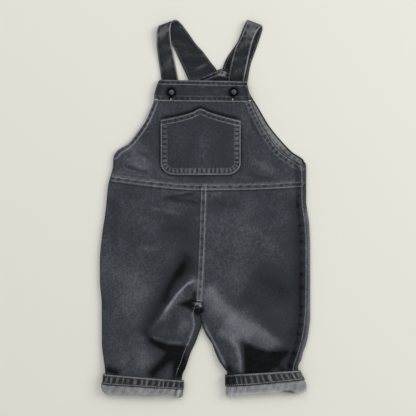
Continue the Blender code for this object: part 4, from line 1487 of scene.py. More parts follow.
@dataclass
class Sewing:
    """Collects stitches and makes them one joined mesh."""

    name: str
    length: float = 2.5
    pitch: float = 3.2
    radius: float = 0.32
    places: list = field(default_factory=list)

    def row(self, points: np.ndarray, normals: np.ndarray) -> None:
        """Sews one row along a line of points.

        Args:
            points: Places on the cloth's surface, in millimetres.
            normals: The surface's normals there.
        """
        points = np.asarray(points, dtype=float)
        normals = np.asarray(normals, dtype=float)
        steps = np.linalg.norm(np.diff(points, axis=0), axis=1)
        walked = np.concatenate([[0.0], np.cumsum(steps)])
        count = int(walked[-1] / self.pitch)
        if count < 1:
            return
        for number in range(count):
            middle = (number + 0.5) * walked[-1] / count
            half = self.length / 2
            start, end, normal = (
                np.array([np.interp(middle + aside, walked, values[:, k]) for k in range(3)])
                for aside, values in ((-half, points), (half, points), (0.0, normals))
            )
            self.places.append((start, end, normal, self.radius))

    def tack(
        self, centre: np.ndarray, along: np.ndarray, normal: np.ndarray, length: float, width: float,
    ) -> None:
        """Sews a bar tack: close threads across a short bar.

        Args:
            centre: The bar's middle.
            along: The bar's direction.
            normal: The surface's normal.
            length: Length of the bar.
            width: Length of each thread across it.
        """
        along = np.asarray(along, dtype=float) / np.linalg.norm(along)
        normal = np.asarray(normal, dtype=float)
        across = np.cross(normal, along)
        count = max(4, int(length / 0.55))
        for number in range(count):
            middle = np.asarray(centre) + along * length * ((number + 0.5) / count - 0.5)
            skew = along * 0.25 * (-1.0) ** number
            half = across * width / 2 + skew
            self.places.append((middle - half, middle + half, normal, 0.4))

    def build(self, material: bpy.types.Material, slot: str) -> bpy.types.Object:
        """Joins all the stitches.

        Args:
            material: The thread.
            slot: Not used; it is only passed on to add_piece.

        Returns:
            The new object.
        """
        sides = 6
        # place along the stitch, size and rise of each ring of it
        rings = (
            (-0.5, 0.3, -0.5), (-0.36, 0.95, 0.0), (0.0, 1.0, 0.25), (0.36, 0.95, 0.0),
            (0.5, 0.3, -0.5),
        )
        verts: list[np.ndarray] = []
        faces: list[tuple[int, ...]] = []
        for start, end, normal, radius in self.places:
            base = len(verts)
            line = end - start
            along = line / max(np.linalg.norm(line), 1e-9)
            up = normal - along * float(np.dot(normal, along))
            up /= max(np.linalg.norm(up), 1e-9)
            across = np.cross(along, up)
            for part, size, rise in rings:
                centre = (start + end) / 2 + line * part + up * rise * radius
                for side in range(sides):
                    turn = 2.0 * math.pi * side / sides
                    spoke = across * math.cos(turn) + 0.8 * up * math.sin(turn)
                    verts.append(centre + radius * size * spoke)
            for ring in range(len(rings) - 1):
                for side in range(sides):
                    a, b = base + ring * sides + side, base + ring * sides + (side + 1) % sides
                    faces.append((a, a + sides, b + sides, b))
            faces.append(tuple(base + side for side in range(sides)))
            last = base + (len(rings) - 1) * sides
            faces.append(tuple(last + side for side in reversed(range(sides))))
        mesh = bpy.data.meshes.new(self.name)
        mesh.from_pydata([tuple(v * MM) for v in verts], [], faces)
        form = bmesh.new()
        form.from_mesh(mesh)
        bmesh.ops.recalc_face_normals(form, faces=form.faces)
        form.to_mesh(mesh)
        form.free()
        mesh.polygons.foreach_set("use_smooth", np.ones(len(mesh.polygons), dtype=bool))
        mesh.materials.append(material)
        piece = add_piece(self.name, mesh, slot)
        LOG.info("%s: %d stitches", self.name, len(self.places))
        return piece


def offset_line(points: np.ndarray, distance: float) -> np.ndarray:
    """A line moved sideways in the plane, to the left of its direction.

    Args:
        points: The line's points.
        distance: How far to the left.

    Returns:
        The moved line.
    """
    points = np.asarray(points, dtype=float)
    along = np.gradient(points, axis=0)
    along /= np.maximum(np.linalg.norm(along, axis=1, keepdims=True), 1e-9)
    return points + distance * np.stack([-along[:, 1], along[:, 0]], axis=1)


def dense(points: np.ndarray, step: float = 2.0) -> np.ndarray:
    """The same line with a point every few millimetres.

    Args:
        points: The line's points.
        step: Distance between two points.

    Returns:
        The line's new points.
    """
    points = np.asarray(points, dtype=float)
    walked = np.concatenate([[0.0], np.cumsum(np.linalg.norm(np.diff(points, axis=0), axis=1))])
    places = np.linspace(0.0, walked[-1], max(2, int(walked[-1] / step)))
    return np.stack([np.interp(places, walked, points[:, k]) for k in range(2)], axis=1)


class Surface:
    """Outer sides of some sheets together, for finding places on them."""

    def __init__(self, sheets: list[ClothSheet]) -> None:
        """Gathers the sheets' outer sides.

        Args:
            sheets: The sheets.
        """
        places: list[np.ndarray] = []
        faces: list[np.ndarray] = []
        start = 0
        for sheet in sheets:
            rows, columns = sheet.grid.shape[:2]
            index = np.arange(rows * columns).reshape(rows, columns) + start
            places.append((sheet.grid + sheet.normals * sheet.wall[:, :, None] / 2).reshape(-1, 3))
            quads = [index[:-1, :-1], index[:-1, 1:], index[1:, 1:], index[1:, :-1]]
            faces.append(np.stack(quads, axis=2).reshape(-1, 4))
            start += rows * columns
        corners, quads = np.concatenate(places), np.concatenate(faces)
        self.tree = BVHTree.FromPolygons(corners.tolist(), quads.tolist())

    def meet(self, x: float, y: float, down: bool = True) -> tuple[np.ndarray, np.ndarray] | None:
        """Place and normal of the outermost cloth at (x, y), seen from above or from below.

        Args:
            x: Place across.
            y: Place along.
            down: Whether it is seen from above.

        Returns:
            The place and the normal, or None beside the cloth.
        """
        way = -1.0 if down else 1.0
        start, along = Vector((x, y, -60.0 * way)), Vector((0.0, 0.0, way))
        place, normal, _, _ = self.tree.ray_cast(start, along)
        if place is None:
            return None
        return np.array(place), np.array(normal) * (-1.0 if normal.z * way > 0.0 else 1.0)

    def sew(self, sewing: Sewing, line: np.ndarray, down: bool = True, out: float = 0.05) -> None:
        """Sews a row along a line on the cloth.

        Args:
            sewing: Where the stitches go.
            line: Points (x, y).
            down: Seen from above, or else from below.
            out: How far the thread's middle lies outside the cloth.
        """
        met = [self.meet(float(x), float(y), down) for x, y in dense(line, 1.5)]
        met = [place for place in met if place is not None]
        if len(met) > 2:
            normals = np.array([normal for _, normal in met])
            sewing.row(np.array([place for place, _ in met]) + normals * out, normals)

    def sew_seam(self, sewing: Sewing, seam: Seam, down: bool = True, out: float = 0.05) -> None:
        """Sews all the rows of a seam.

        Args:
            sewing: Where the stitches go.
            seam: The seam.
            down: Seen from above, or else from below.
            out: How far the thread's middle lies outside the cloth.
        """
        for row in seam.rows:
            self.sew(sewing, offset_line(np.array(seam.points), row), down, out)


@dataclass
class Legs:
    """The four trouser panels, from the waist seam to inside the cuffs."""

    form: LaidForm
    row_step: float = 1.9
    columns: int = 108
    front_cut: tuple[float, float] = (0.190, 0.345)
    back_cut: tuple[float, float] = (0.200, 0.345)
    sheets: dict = field(default_factory=dict)

    def _outer_seam(self, tube: Tube) -> float:
        """Length at the side seam.

        Args:
            tube: The leg's section.

        Returns:
            The length.
        """
        if tube.leg is Leg.RIGHT:
            return -tube.outer_turn - SIDE_WRAP_RIGHT
        return SIDE_WRAP_LEFT - tube.outer_round

    def _inner_seam(self, tube: Tube) -> tuple[float, float]:
        """Lengths of the front panel's and the back panel's inner edges.

        Args:
            tube: The leg's section.

        Returns:
            The two lengths.
        """
        apart = tube.top + tube.inner_turn
        if tube.leg is Leg.RIGHT:
            wrap = tube.closed * (float(INSEAM_WRAP.at(tube.y)) - tube.inner_round)
            return tube.top - wrap, float(mix(apart, tube.top - wrap, tube.closed))
        middle = tube.top + tube.inner_turn / 2
        return float(mix(tube.top, middle, tube.closed)), float(mix(apart, middle, tube.closed))

    def _lengths(self, tube: Tube, side: Side) -> np.ndarray:
        """Lengths of a panel's columns round its section.

        Args:
            tube: The leg's section.
            side: Front or back panel.

        Returns:
            The lengths in order.
        """
        start, end = self._outer_seam(tube), self._inner_seam(tube)[0]
        ground = tube.top + tube.inner_turn
        if side is Side.FRONT and tube.leg is Leg.RIGHT:
            return spread((start, -tube.outer_turn, 0.0, end), (4, 8, self.columns - 12))
        if side is Side.FRONT:
            return spread((start, min(tube.top, end - 5.0), end), (self.columns - 8, 8))
        start, end = self._inner_seam(tube)[1], self._outer_seam(tube) + tube.round_trip
        half = self.columns // 2
        if tube.leg is Leg.RIGHT:
            return spread((start, max(ground, start + 14.0), end), (14, half))
        outer_ground = ground + tube.top
        stops = (start, max(ground, start + 5.0), outer_ground, outer_ground + tube.outer_turn, end)
        return spread(stops, (8, half, 8, 6))

    def panel(self, leg: Leg, side: Side) -> ClothSheet:
        """Works out one panel.

        Args:
            leg: Which leg.
            side: Front or back panel.

        Returns:
            The panel as a sheet.
        """
        step = self.row_step if side is Side.FRONT else 2.0 * self.row_step
        rows, shares = [], []
        for y in np.linspace(WAIST_Y, LEG_END_Y, int((WAIST_Y - LEG_END_Y) / step)):
            tube = Tube(self.form, leg, float(y))
            x, z, share = tube.place(self._lengths(tube, side))
            near_end = float(smooth((-225.0 - y) / (-225.0 - LEG_END_Y)))
            shift = (cuff_y(leg, x, LEG_END_LEVEL) - LEG_END_Y) * near_end
            rows.append(np.stack([x, y + waist_shift(x, float(y)) + shift, z], axis=1))
            shares.append(share)
        grid, share = np.array(rows), np.array(shares)
        rise, wear_and_shading = self.form.fine(*xy(grid))
        lift, worn = self.form.back(*xy(grid))
        over_floor = grid[:, :, 2] - self.form.floor(grid[:, :, 1])
        grid[:, :, 2] += rise * share + lift * (over_floor < 0.05)
        wear_and_shading = np.where(over_floor > 2.0, wear_and_shading, np.where(over_floor < 0.05, worn, 0.0))
        outward = UP if side is Side.FRONT else -UP
        return ClothSheet(f"{side.value}_leg_{leg.value}_cloth", grid, WALL, outward, wear_and_shading)

    def build(self, finishes: Finishes) -> None:
        """Args:
            finishes: The shared materials.
        """
        for leg in Leg:
            for side in Side:
                sheet = self.panel(leg, side)
                self.sheets[side, leg] = sheet
                node = f"{side.value}_leg_{leg.value}"
                piece = sheet.build((finishes.outside, finishes.inside), "denim", node)
                round(sheet.flat_area(), 4)

    def sew(self, sewing: Sewing, top: Surface, under: Surface) -> None:
        """Sews the rows along the waist, centre, side and inside seams, on both faces.

        Args:
            sewing: Where the stitches go.
            top: The cloth seen from above.
            under: The cloth seen from below.
        """
        for seam in (CENTRE_SEAM, SIDE_SEAM, INSEAM, WAIST_SEAM):
            top.sew_seam(sewing, seam)
        for seam in (CENTRE_SEAM, WAIST_SEAM):
            under.sew_seam(sewing, seam, False, SUNK)


@dataclass
class Bib:
    """Front bib with its top band and pocket, and the back bib with its facing."""

    form: LaidForm
    pocket_left: float = 56.0
    pocket_right: float = -69.5
    pocket_bottom: float = 53.0
    pocket_corner: float = 22.0
    slot_width: float = 1.6
    slot_length: float = 12.0
    sheets: dict = field(default_factory=dict)

    def rows(self) -> np.ndarray:
        """Section places from the waist up to the bib's top."""
        return spread((WAIST_Y, 62.0, 98.0, BIB_TOP_Y), (14, 36, 56))

    def front(self) -> ClothSheet:
        """Front bib: rolled under at the wearer's right side, up to the side seam at the left.

        Returns:
            The bib as a sheet.
        """
        rows, shares = [], []
        for y in self.rows():
            tube = Tube(self.form, Leg.RIGHT, float(y))
            rolled = float(1.0 - smooth((y - 76.0) / 12.0))
            start = -rolled * (tube.outer_turn + SIDE_WRAP_RIGHT)
            end = float(FRONT_BIB_EDGE.at(y)) - tube.outer - tube.outer_round
            bend = min(0.0, start + 14.0) if rolled > 0.5 else start + 14.0
            length = spread((start, bend, end), (14, 120))
            x, z, _ = tube.place(np.minimum(length, 0.0))
            over = length > 0.0
            x = np.where(over, tube.outer + tube.outer_round + length, x)
            shifted = y + waist_shift(x, float(y)) + bib_top_shift(x, float(y))
            z = np.where(over, self.form.top(x, float(y)), z)
            rows.append(np.stack([x, shifted, z], axis=1))
            shares.append(np.where(over, smooth(length / 6.0), 0.0))
        grid, share = np.array(rows), np.array(shares)
        rise, wear_and_shading = self.form.fine(*xy(grid))
        grid[:, :, 2] += rise * share
        return ClothSheet("front_bib_cloth", grid, WALL, UP, wear_and_shading * (grid[:, :, 2] > SHOWN_Z))

    def roof_rise(self, x: np.ndarray, y: Numbers) -> np.ndarray:
        """Rise of the back bib's roof-shaped top over the level of its ends.

        Args:
            x: Places across.
            y: Places along.

        Returns:
            The rise.
        """
        low = (x - ROOF_LOW_X) / (ROOF_PEAK_X - ROOF_LOW_X)
        high = (ROOF_HIGH_X - x) / (ROOF_HIGH_X - ROOF_PEAK_X)
        return ROOF_RISE * np.clip(np.minimum(low, high), 0.0, 1.0) * smooth((y - 150.0) / 48.0)

    def back(self) -> ClothSheet:
        """Back bib: flat on the ground, and rolled up onto the front at the wearer's left side.

        Returns:
            The bib as a sheet.
        """
        rows, grounds = [], []
        for y in self.rows():
            tube = Tube(self.form, Leg.LEFT, float(y))
            rolled = float(1.0 - smooth((y - 64.0) / 10.0))
            right_edge = float(BACK_BIB_EDGE.at(y))
            if y < 92.0:
                right = Tube(self.form, Leg.RIGHT, float(y))
                right_edge = max(right_edge, right.outer + right.outer_round + SIDE_WRAP_RIGHT)
            start = tube.outer - tube.outer_round - right_edge
            wrapped = tube.outer_turn + SIDE_WRAP_LEFT - tube.outer_round
            end = -rolled * wrapped - (1.0 - rolled) * (tube.outer_round - 1.0)
            bend = max(0.0, end + 14.0) if rolled > 0.5 else end + 14.0
            length = spread((start, bend, end), (80, 20))
            rolled_x, rolled_z, _ = tube.place(-tube.outer_turn - np.minimum(length, 0.0))
            flat_x = tube.outer - tube.outer_round - length
            x = np.where(length >= 0.0, flat_x, mix(flat_x, rolled_x, smooth(2.0 * rolled)))
            z = np.where(length >= 0.0, tube.floor, mix(tube.floor, rolled_z, smooth(2.0 * rolled)))
            on_ground = z < tube.floor + 0.3
            shifted = y + waist_shift(x, float(y)) + self.roof_rise(x, float(y))
            rows.append(np.stack([x, shifted, z], axis=1))
            grounds.append(on_ground)
        grid, ground = np.array(rows), np.array(grounds)
        lift, wear_and_shading = self.form.back(*xy(grid))
        grid[:, :, 2] += lift * ground * 0.7
        seam = BACK_ARMHOLE.relief(*xy(grid))[1] + ROOF_SEAM.relief(*xy(grid))[1]
        seam = seam + BACK_RIM.wear_and_shading * BACK_RIM.change(*xy(grid))
        seam = seam - 0.40 * smooth((103.0 - grid[:, :, 1]) / 14.0)
        rolled_wear_and_shading = self.form.fine(*xy(grid))[1] * (grid[:, :, 2] > SHOWN_Z)
        wear_and_shading = np.where(ground, wear_and_shading, rolled_wear_and_shading)
        inner = np.clip(seam - 0.1, -1.0, 1.0)
        return ClothSheet("back_bib_cloth", grid, WALL, -UP, wear_and_shading, False, inner)

    def facing(self) -> ClothSheet:
        """Strip inside the back bib's top, over the strap ends.

        Returns:
            The facing as a sheet.
        """
        rows = []
        for y in np.linspace(178.0, BIB_TOP_Y, 24):
            x = np.linspace(-22.0, 66.0, 91)
            raised = y + self.roof_rise(x, BIB_TOP_Y) - 0.6
            rows.append(np.stack([x, raised, np.full(x.shape, 4.6)], axis=1))
        grid = np.array(rows)
        rise, wear_and_shading = ROOF_SEAM.relief(*xy(grid))
        grid[:, :, 2] += rise
        x, y = xy(grid)
        pale = 0.8 * np.exp(-(((x - 27.0) / 7.5) ** 2 + ((y - 212.0) / 4.5) ** 2) ** 2)
        wear_and_shading = np.clip(wear_and_shading + pale - 0.25 - 0.35 * smooth((208.0 - y) / 5.0), -1.0, 1.0)
        return ClothSheet("back_facing_cloth", grid, WALL, UP, wear_and_shading)

    def band(self) -> ClothSheet:
        """Band along the bib's top.

        Returns:
            The band as a sheet.
        """
        rows = []
        for y in np.linspace(BAND_LOW, BIB_TOP_Y, 38):
            low = float(OUTER_EDGE[Leg.RIGHT].at(y)) + 2.6 * float(smooth((177.0 - y) / 10.0))
            high = float(FRONT_BIB_EDGE.at(y)) + 0.9
            x = np.linspace(low, high, 120)
            z = self.form.top(x, float(y)) + LAYER
            rows.append(np.stack([x, y + bib_top_shift(x, float(y)), z], axis=1))
        grid = np.array(rows)
        x, y = xy(grid)
        (top_rise, top_wear_and_shading), (low_rise, low_wear_and_shading) = BAND_TOP.relief(x, y), BAND_BOTTOM.relief(x, y)
        grid[:, :, 2] += top_rise + low_rise
        to_side = np.minimum(x - x[:, :1], x[:, -1:] - x)
        wear_and_shading = top_wear_and_shading + low_wear_and_shading + 0.3 * bell(to_side, 1.0, 1.2)
        wear_and_shading = wear_and_shading - 0.3 * bell(to_side, 5, 3.0)
        wear_and_shading = wear_and_shading + 0.13 * np.sin(x / 5.3 + 1.7 * np.sin(y / 4.0)) * np.sin(y / 3.1 + x / 9.0)
        # darker ring on the band round each button: painted shadow of the button
        for button in BUTTON_X.values():
            wear_and_shading = wear_and_shading - 0.4 * bell(np.hypot(x - button, y - BUTTON_Y + 1.0), 0.0, 10.0, 4)
        return ClothSheet("bib_band_cloth", grid, WALL, UP, np.clip(wear_and_shading - 0.12, -1.0, 1.0))

    def pocket_middle(self) -> tuple[float, float]:
        """x of the pocket's middle, and half its width."""
        left, right = self.pocket_left, self.pocket_right
        return (left + right) / 2, (left - right) / 2

    def pocket_bottom_at(self, x: np.ndarray) -> np.ndarray:
        """y of the pocket's lower edge, with its rounded corners.

        Args:
            x: Places across.

        Returns:
            The edge's y at each x.
        """
        middle, half = self.pocket_middle()
        into = np.maximum(0.0, self.pocket_corner - (half - np.abs(x - middle)))
        rise = self.pocket_corner - np.sqrt(np.maximum(self.pocket_corner ** 2 - into ** 2, 0.0))
        return self.pocket_bottom + rise * 0.85

    def pocket_seams(self) -> tuple[Seam, Seam]:
        """Seams along the pocket's sides and bottom, and along its pointed top.

        Returns:
            The two seams.
        """
        middle, half = self.pocket_middle()
        x = middle + half * np.sin(np.linspace(-math.pi / 2, math.pi / 2, 44))
        low = list(zip(x.tolist(), self.pocket_bottom_at(x).tolist()))
        sides = [(self.pocket_right, float(POCKET_TOP_LINE.at(self.pocket_right)))] + low
        sides.append((self.pocket_left, float(POCKET_TOP_LINE.at(self.pocket_left))))
        top = line_points(POCKET_TOP_LINE, self.pocket_right, self.pocket_left, 25)
        return (
            Seam(tuple(sides), (1.2, 9.4), (-0.2, 10.2), 0.30, 0.40, 7.4, 0.80, -0.4, (0.5, 0.1), 0.6,
                 1.0, 0.27, 0.05),
            Seam(top, (-1.2, -7.4), (-8.0, 0.2), 0.30, 0.25, 8.0, 0.5, -0.4, (0.1, 0.45), 1.6, 0.0,
                 0.05, 0.28),
        )

    def pocket(self) -> ClothSheet:
        """Patch pocket: pointed top, rounded lower corners, puckered along its sewn edges.

        Returns:
            The pocket as a sheet.
        """
        middle, half = self.pocket_middle()
        even = np.linspace(-1.0, 1.0, 109)
        x = middle + half * mix(even, np.sin(even * math.pi / 2), 0.6)
        bottom, top = self.pocket_bottom_at(x), POCKET_TOP_LINE.at(x)
        parts = np.linspace(0, 1, 84)
        ys = [mix(bottom, top, part) for part in parts]
        grid = np.array([np.stack([x, y, np.zeros_like(x)], axis=1) for y in ys])
        px, py = xy(grid)
        to_side = np.minimum(px - self.pocket_right, self.pocket_left - px)
        to_edge = np.minimum(to_side, py - self.pocket_bottom_at(px))
        to_top = POCKET_TOP_LINE.at(px) - py
        gape = 1.1 * bell(to_top, 0.0, 9.0) * smooth((to_edge - 6.0) / 20.0)
        puff = 0.8 * smooth((to_edge - 8.0) / 16.0) * smooth((to_top - 4.0) / 14.0)
        reliefs = [seam.relief(px, py) for seam in self.pocket_seams()]
        (side_rise, side_wear_and_shading), (top_rise, top_wear_and_shading) = reliefs
        under = self.form.top(px, py) + self.form.swell(px, py)
        grid[:, :, 2] = under + LAYER + 0.2 + gape + puff + side_rise + top_rise
        side_share = smooth((to_top - 5.0) / 4.0)
        worn = 0.16 * bell(px, -4.0, 16.0) * bell(py, 92.0, 34.0)
        dull = 0.14 * bell(px, -63.0, 6.0) * smooth((py - 70.0) / 16.0)
        wear_and_shading = side_wear_and_shading * side_share + top_wear_and_shading + worn - dull - 0.10
        return ClothSheet("bib_pocket_cloth", grid, WALL, UP, np.clip(wear_and_shading, -1.0, 1.0))

    def cut_buttonholes(self, piece: bpy.types.Object) -> None:
        """Cuts the two slim buttonholes through a piece.

        Args:
            piece: The piece.
        """
        for x in BUTTON_X.values():
            bpy.ops.object.select_all(action="DESELECT")
            centre = (x * MM, (BUTTON_Y + 2.0 - self.slot_length / 2) * MM, 8.0 * MM)
            bpy.ops.mesh.primitive_cube_add(size=1.0, location=centre)
            cutter = bpy.context.object
            cutter.scale = (self.slot_width * MM, self.slot_length * MM, 20.0 * MM)
            bpy.ops.object.transform_apply(location=False, rotation=False, scale=True)
            cut = piece.modifiers.new("buttonhole", "BOOLEAN")
            cut.object = cutter
            cut.solver = "EXACT"
            select_only(piece)
            bpy.ops.object.modifier_apply(modifier=cut.name)
            bpy.data.objects.remove(cutter, do_unlink=True)

    def build(self, finishes: Finishes) -> None:
        """Args:
            finishes: The shared materials.
        """
        cloth, facing = (finishes.outside, finishes.inside), (finishes.strap, finishes.inside)
        plan = (
            (self.front(), cloth, "denim", "front_bib", (0.305, 0.175)),
            (self.back(), cloth, "denim", "back_bib", (0.310, 0.195)),
            (self.facing(), facing, "denim_wrong_side", "back_facing", (0.092, 0.044)),
            (self.band(), cloth, "denim", "bib_band", (0.158, 0.035)),
            (self.pocket(), cloth, "denim", "bib_pocket", (0.128, 0.106)),
        )
        for sheet, materials, slot, node, cut in plan:
            self.sheets[node] = sheet
            piece = sheet.build(materials, slot, node)
            if node in ("front_bib", "bib_band"):
                self.cut_buttonholes(piece)
            round(sheet.flat_area(), 4)

    def sew(self, sewing: Sewing, worn: Sewing, tacks: Sewing, top: Surface, under: Surface) -> None:
        """Sews the armholes, band, pocket and back slopes, some rows worn dull, and the bar tacks.

        Args:
            sewing: Where the stitches go.
            worn: Where the rows worn dull go.
            tacks: Where the bar tacks go.
            top: The cloth seen from above.
            under: The cloth seen from below.
        """
        for seam in (LEFT_ARMHOLE, RIGHT_ARMHOLE, BAND_TOP, BAND_BOTTOM) + self.pocket_seams():
            for row, rows in zip(seam.rows, (sewing, worn if seam.second < 0.25 else sewing)):
                top.sew(rows, offset_line(np.array(seam.points), row))
        for seam in (BACK_ARMHOLE, HIDDEN_ARMHOLE, ROOF_SEAM):
            under.sew_seam(sewing, seam, False, SUNK)
        Surface([self.sheets["back_facing"]]).sew_seam(sewing, ROOF_SEAM)
        # place, direction and length of each bar tack
        for x, y, along, length in (
            (-76.4, 171.5, (1, 0, 0), 3.6), (70.4, 169.2, (1, 0, 0), 3.6),
            (-53.6, 171.4, (0, 1, 0), 3.2), (43.5, 170.9, (0, 1, 0), 3.2),
            (-9.5, -144.1, (1, 0, 0), 5.0),
        ):
            met = top.meet(x, y)
            if met:
                tacks.tack(met[0] + 0.1 * met[1], np.array(along, dtype=float), met[1], length, 1.5)


class Straps:
    """The two tapered straps, sewn to the back bib and folded over at the shoulder."""

    # left x, left y, right x, right y, height
    RULINGS = {
        Leg.RIGHT: (
            (-21.5, 195.5, 20.0, 210.5, 2.6), (-24.4, 200.8, 18.0, 217.0, 2.6),
            (-33.1, 219.7, 7.9, 230.7, 1.3), (-41.7, 238.6, -2.4, 244.9, 1.1),
            (-52.0, 259.1, -15.0, 259.1, 1.1), (-62.5, 271.7, -28.4, 278.0, 1.2),
            (-68.8, 281.0, -38.5, 291.0, 1.6), (-71.0, 286.6, -45.6, 295.9, 4.2),
            (-73.6, 283.4, -53.0, 291.8, 6.6), (-75.6, 273.5, -55.2, 278.0, 6.2),
            (-75.4, 257.5, -53.6, 259.1, 4.4), (-73.2, 238.6, -49.5, 239.4, 2.2),
            (-70.4, 219.7, -45.7, 219.7, 1.6), (-67.7, 200.8, -42.5, 200.8, 2.6),
            (-65.4, 164.6, -39.4, 164.6, 2.6),
        ),
        Leg.LEFT: (
            (28.5, 211.5, 65.5, 195.5, 2.6), (28.0, 217.5, 66.6, 201.5, 2.6),
            (33.1, 233.1, 70.5, 224.4, 1.3), (42.5, 248.1, 76.2, 241.8, 1.1),
            (52.0, 262.2, 82.6, 259.1, 1.1), (59.0, 279.6, 87.4, 274.0, 1.2),
            (63.4, 290.0, 89.8, 282.9, 1.6), (66.4, 296.0, 89.2, 287.2, 4.2),
            (66.0, 291.6, 85.0, 283.6, 6.6), (61.8, 280.0, 78.4, 273.4, 6.2),
            (55.0, 265.4, 73.6, 261.0, 4.6), (48.8, 252.8, 70.2, 248.0, 4.0),
            (43.0, 232.7, 66.4, 229.6, 4.8), (38.9, 213.8, 62.6, 211.8, 6.7),
            (37.2, 201.8, 60.4, 200.8, 6.7), (35.4, 164.6, 58.6, 164.6, 6.7),
        ),
    }

    def __init__(self) -> None:
        """Starts with no sheets made."""
        self.sheets: dict[Leg, ClothSheet] = {}

    def sheet(self, leg: Leg) -> ClothSheet:
        """Works out one strap.

        Args:
            leg: The wearer's side.

        Returns:
            The strap as a sheet, thinner along its two sewn edges.
        """
        rulings = self.RULINGS[leg]
        steps = np.linspace(0.0, len(rulings) - 1.0, 190)
        tables = [Curve(tuple(enumerate(column))) for column in zip(*rulings)]
        left_x, left_y, right_x, right_y, height = (table.at(steps) for table in tables)
        across = np.linspace(0.0, 1.0, 31)
        x = mix(left_x[:, None], right_x[:, None], across[None, :])
        y = mix(left_y[:, None], right_y[:, None], across[None, :])
        width = np.hypot(right_x - left_x, right_y - left_y)[:, None]
        to_edge = np.minimum(across, 1.0 - across)[None, :] * width
        walked = np.cumsum(np.hypot(np.gradient(left_x), np.gradient(left_y)))[:, None]
        wave = np.sin(walked / 2.0 + 1.2 * np.sin(walked / 17.0) + 2.0 * (across[None, :] > 0.5))
        crossing = 0.22 * np.sin(walked / 7.5 + 2.4 * across[None, :]) * smooth(to_edge / 4.0)
        z = height[:, None] + crossing * smooth((height[:, None] - 1.0) / 1.2)
        sewn = bell(to_edge, 2.8, 1.8)
        wall = STRAP_WALL * (1.0 - 0.16 * sewn * (0.8 + 0.6 * wave))
        front = smooth((steps - 0.5 * len(rulings)) / 1.5)[:, None]
        # pale edges of the strap: wear, brighter on the edge towards the light and on the front run,
        # which is painted highlight
        edge = np.where(across > 0.5, 0.95, 0.45)[None, :] * mix(0.3, 1.0, front)
        wear_and_shading = edge * bell(to_edge, 0.0, 1.2) - 0.26 * sewn * (0.6 + wave) - 0.06
        phase = 2.0 * (len(rulings) // 2)
        # the front runs are darker near the band: painted shadow
        wear_and_shading = wear_and_shading + mix(-0.06, 0.05, front) - 0.45 * front * bell(y, 203.0, 8.0)
        # paler where each strap turns over at the shoulder: painted highlight
        bright, spot, reach = (0.62, 0.50, 1.6) if leg is Leg.LEFT else (0.26, 0.56, 1.0)
        wear_and_shading = wear_and_shading + bright * bell(steps, spot * len(rulings), reach)[:, None]
        patchy = np.sin(walked / 5.3 + 3.0 * across[None, :]) * np.sin(walked / 13.0 + phase)
        wear_and_shading = wear_and_shading + 0.16 * patchy
        low_part = (height < 2.2)[:, None]
        # dark patch on the left strap's back run, under its front run: painted shadow
        wear_and_shading = wear_and_shading - 0.65 * bell(np.hypot(x - 33.0, y - 226.0), 0.0, 9.0, 4) * low_part
        bent = np.exp(-((x + 5.0) / 12.0) ** 2 - ((y - 226.4 - 0.57 * x) / 3.6) ** 2)
        wear_and_shading = wear_and_shading + 0.40 * bent * low_part
        grid = np.stack([x, y, z], axis=2)
        middle = grid.shape[0] // 2
        rising = grid[middle + 1, 0, 2] > grid[middle - 1, 0, 2]
        outward = np.array([0.0, 1.0, 0.3]) if rising else np.array([0.0, 0.3, 1.0])
        wear_and_shading = np.clip(wear_and_shading, -1.0, 1.0)
        return ClothSheet(f"strap_{leg.value}_cloth", grid, wall, outward, wear_and_shading, False, wear_and_shading)

    def build(self, finishes: Finishes) -> None:
        """Makes both straps.

        Args:
            finishes: The shared materials.
        """
        for leg in Leg:
            sheet = self.sheet(leg)
            self.sheets[leg] = sheet
            piece = sheet.build((finishes.strap, finishes.strap), "strap_denim", f"strap_{leg.value}")
            round(sheet.flat_area(), 4)

    def sew(self, sewing: Sewing) -> None:
        """Sews a row along each edge of each strap, on both sides.

        Args:
            sewing: Where the stitches go.
        """
        for sheet in self.sheets.values():
            rows, columns = sheet.grid.shape[:2]
            steps = np.linspace(2.0, rows - 3.0, 160)
            for column in (1.5, columns - 2.5):
                for out in (1.0, -1.0):
                    depth = out * (STRAP_WALL / 2 - 0.28)
                    points, normals = sheet.sample(steps, np.full(len(steps), column), depth)
                    sewing.row(points, normals * out)


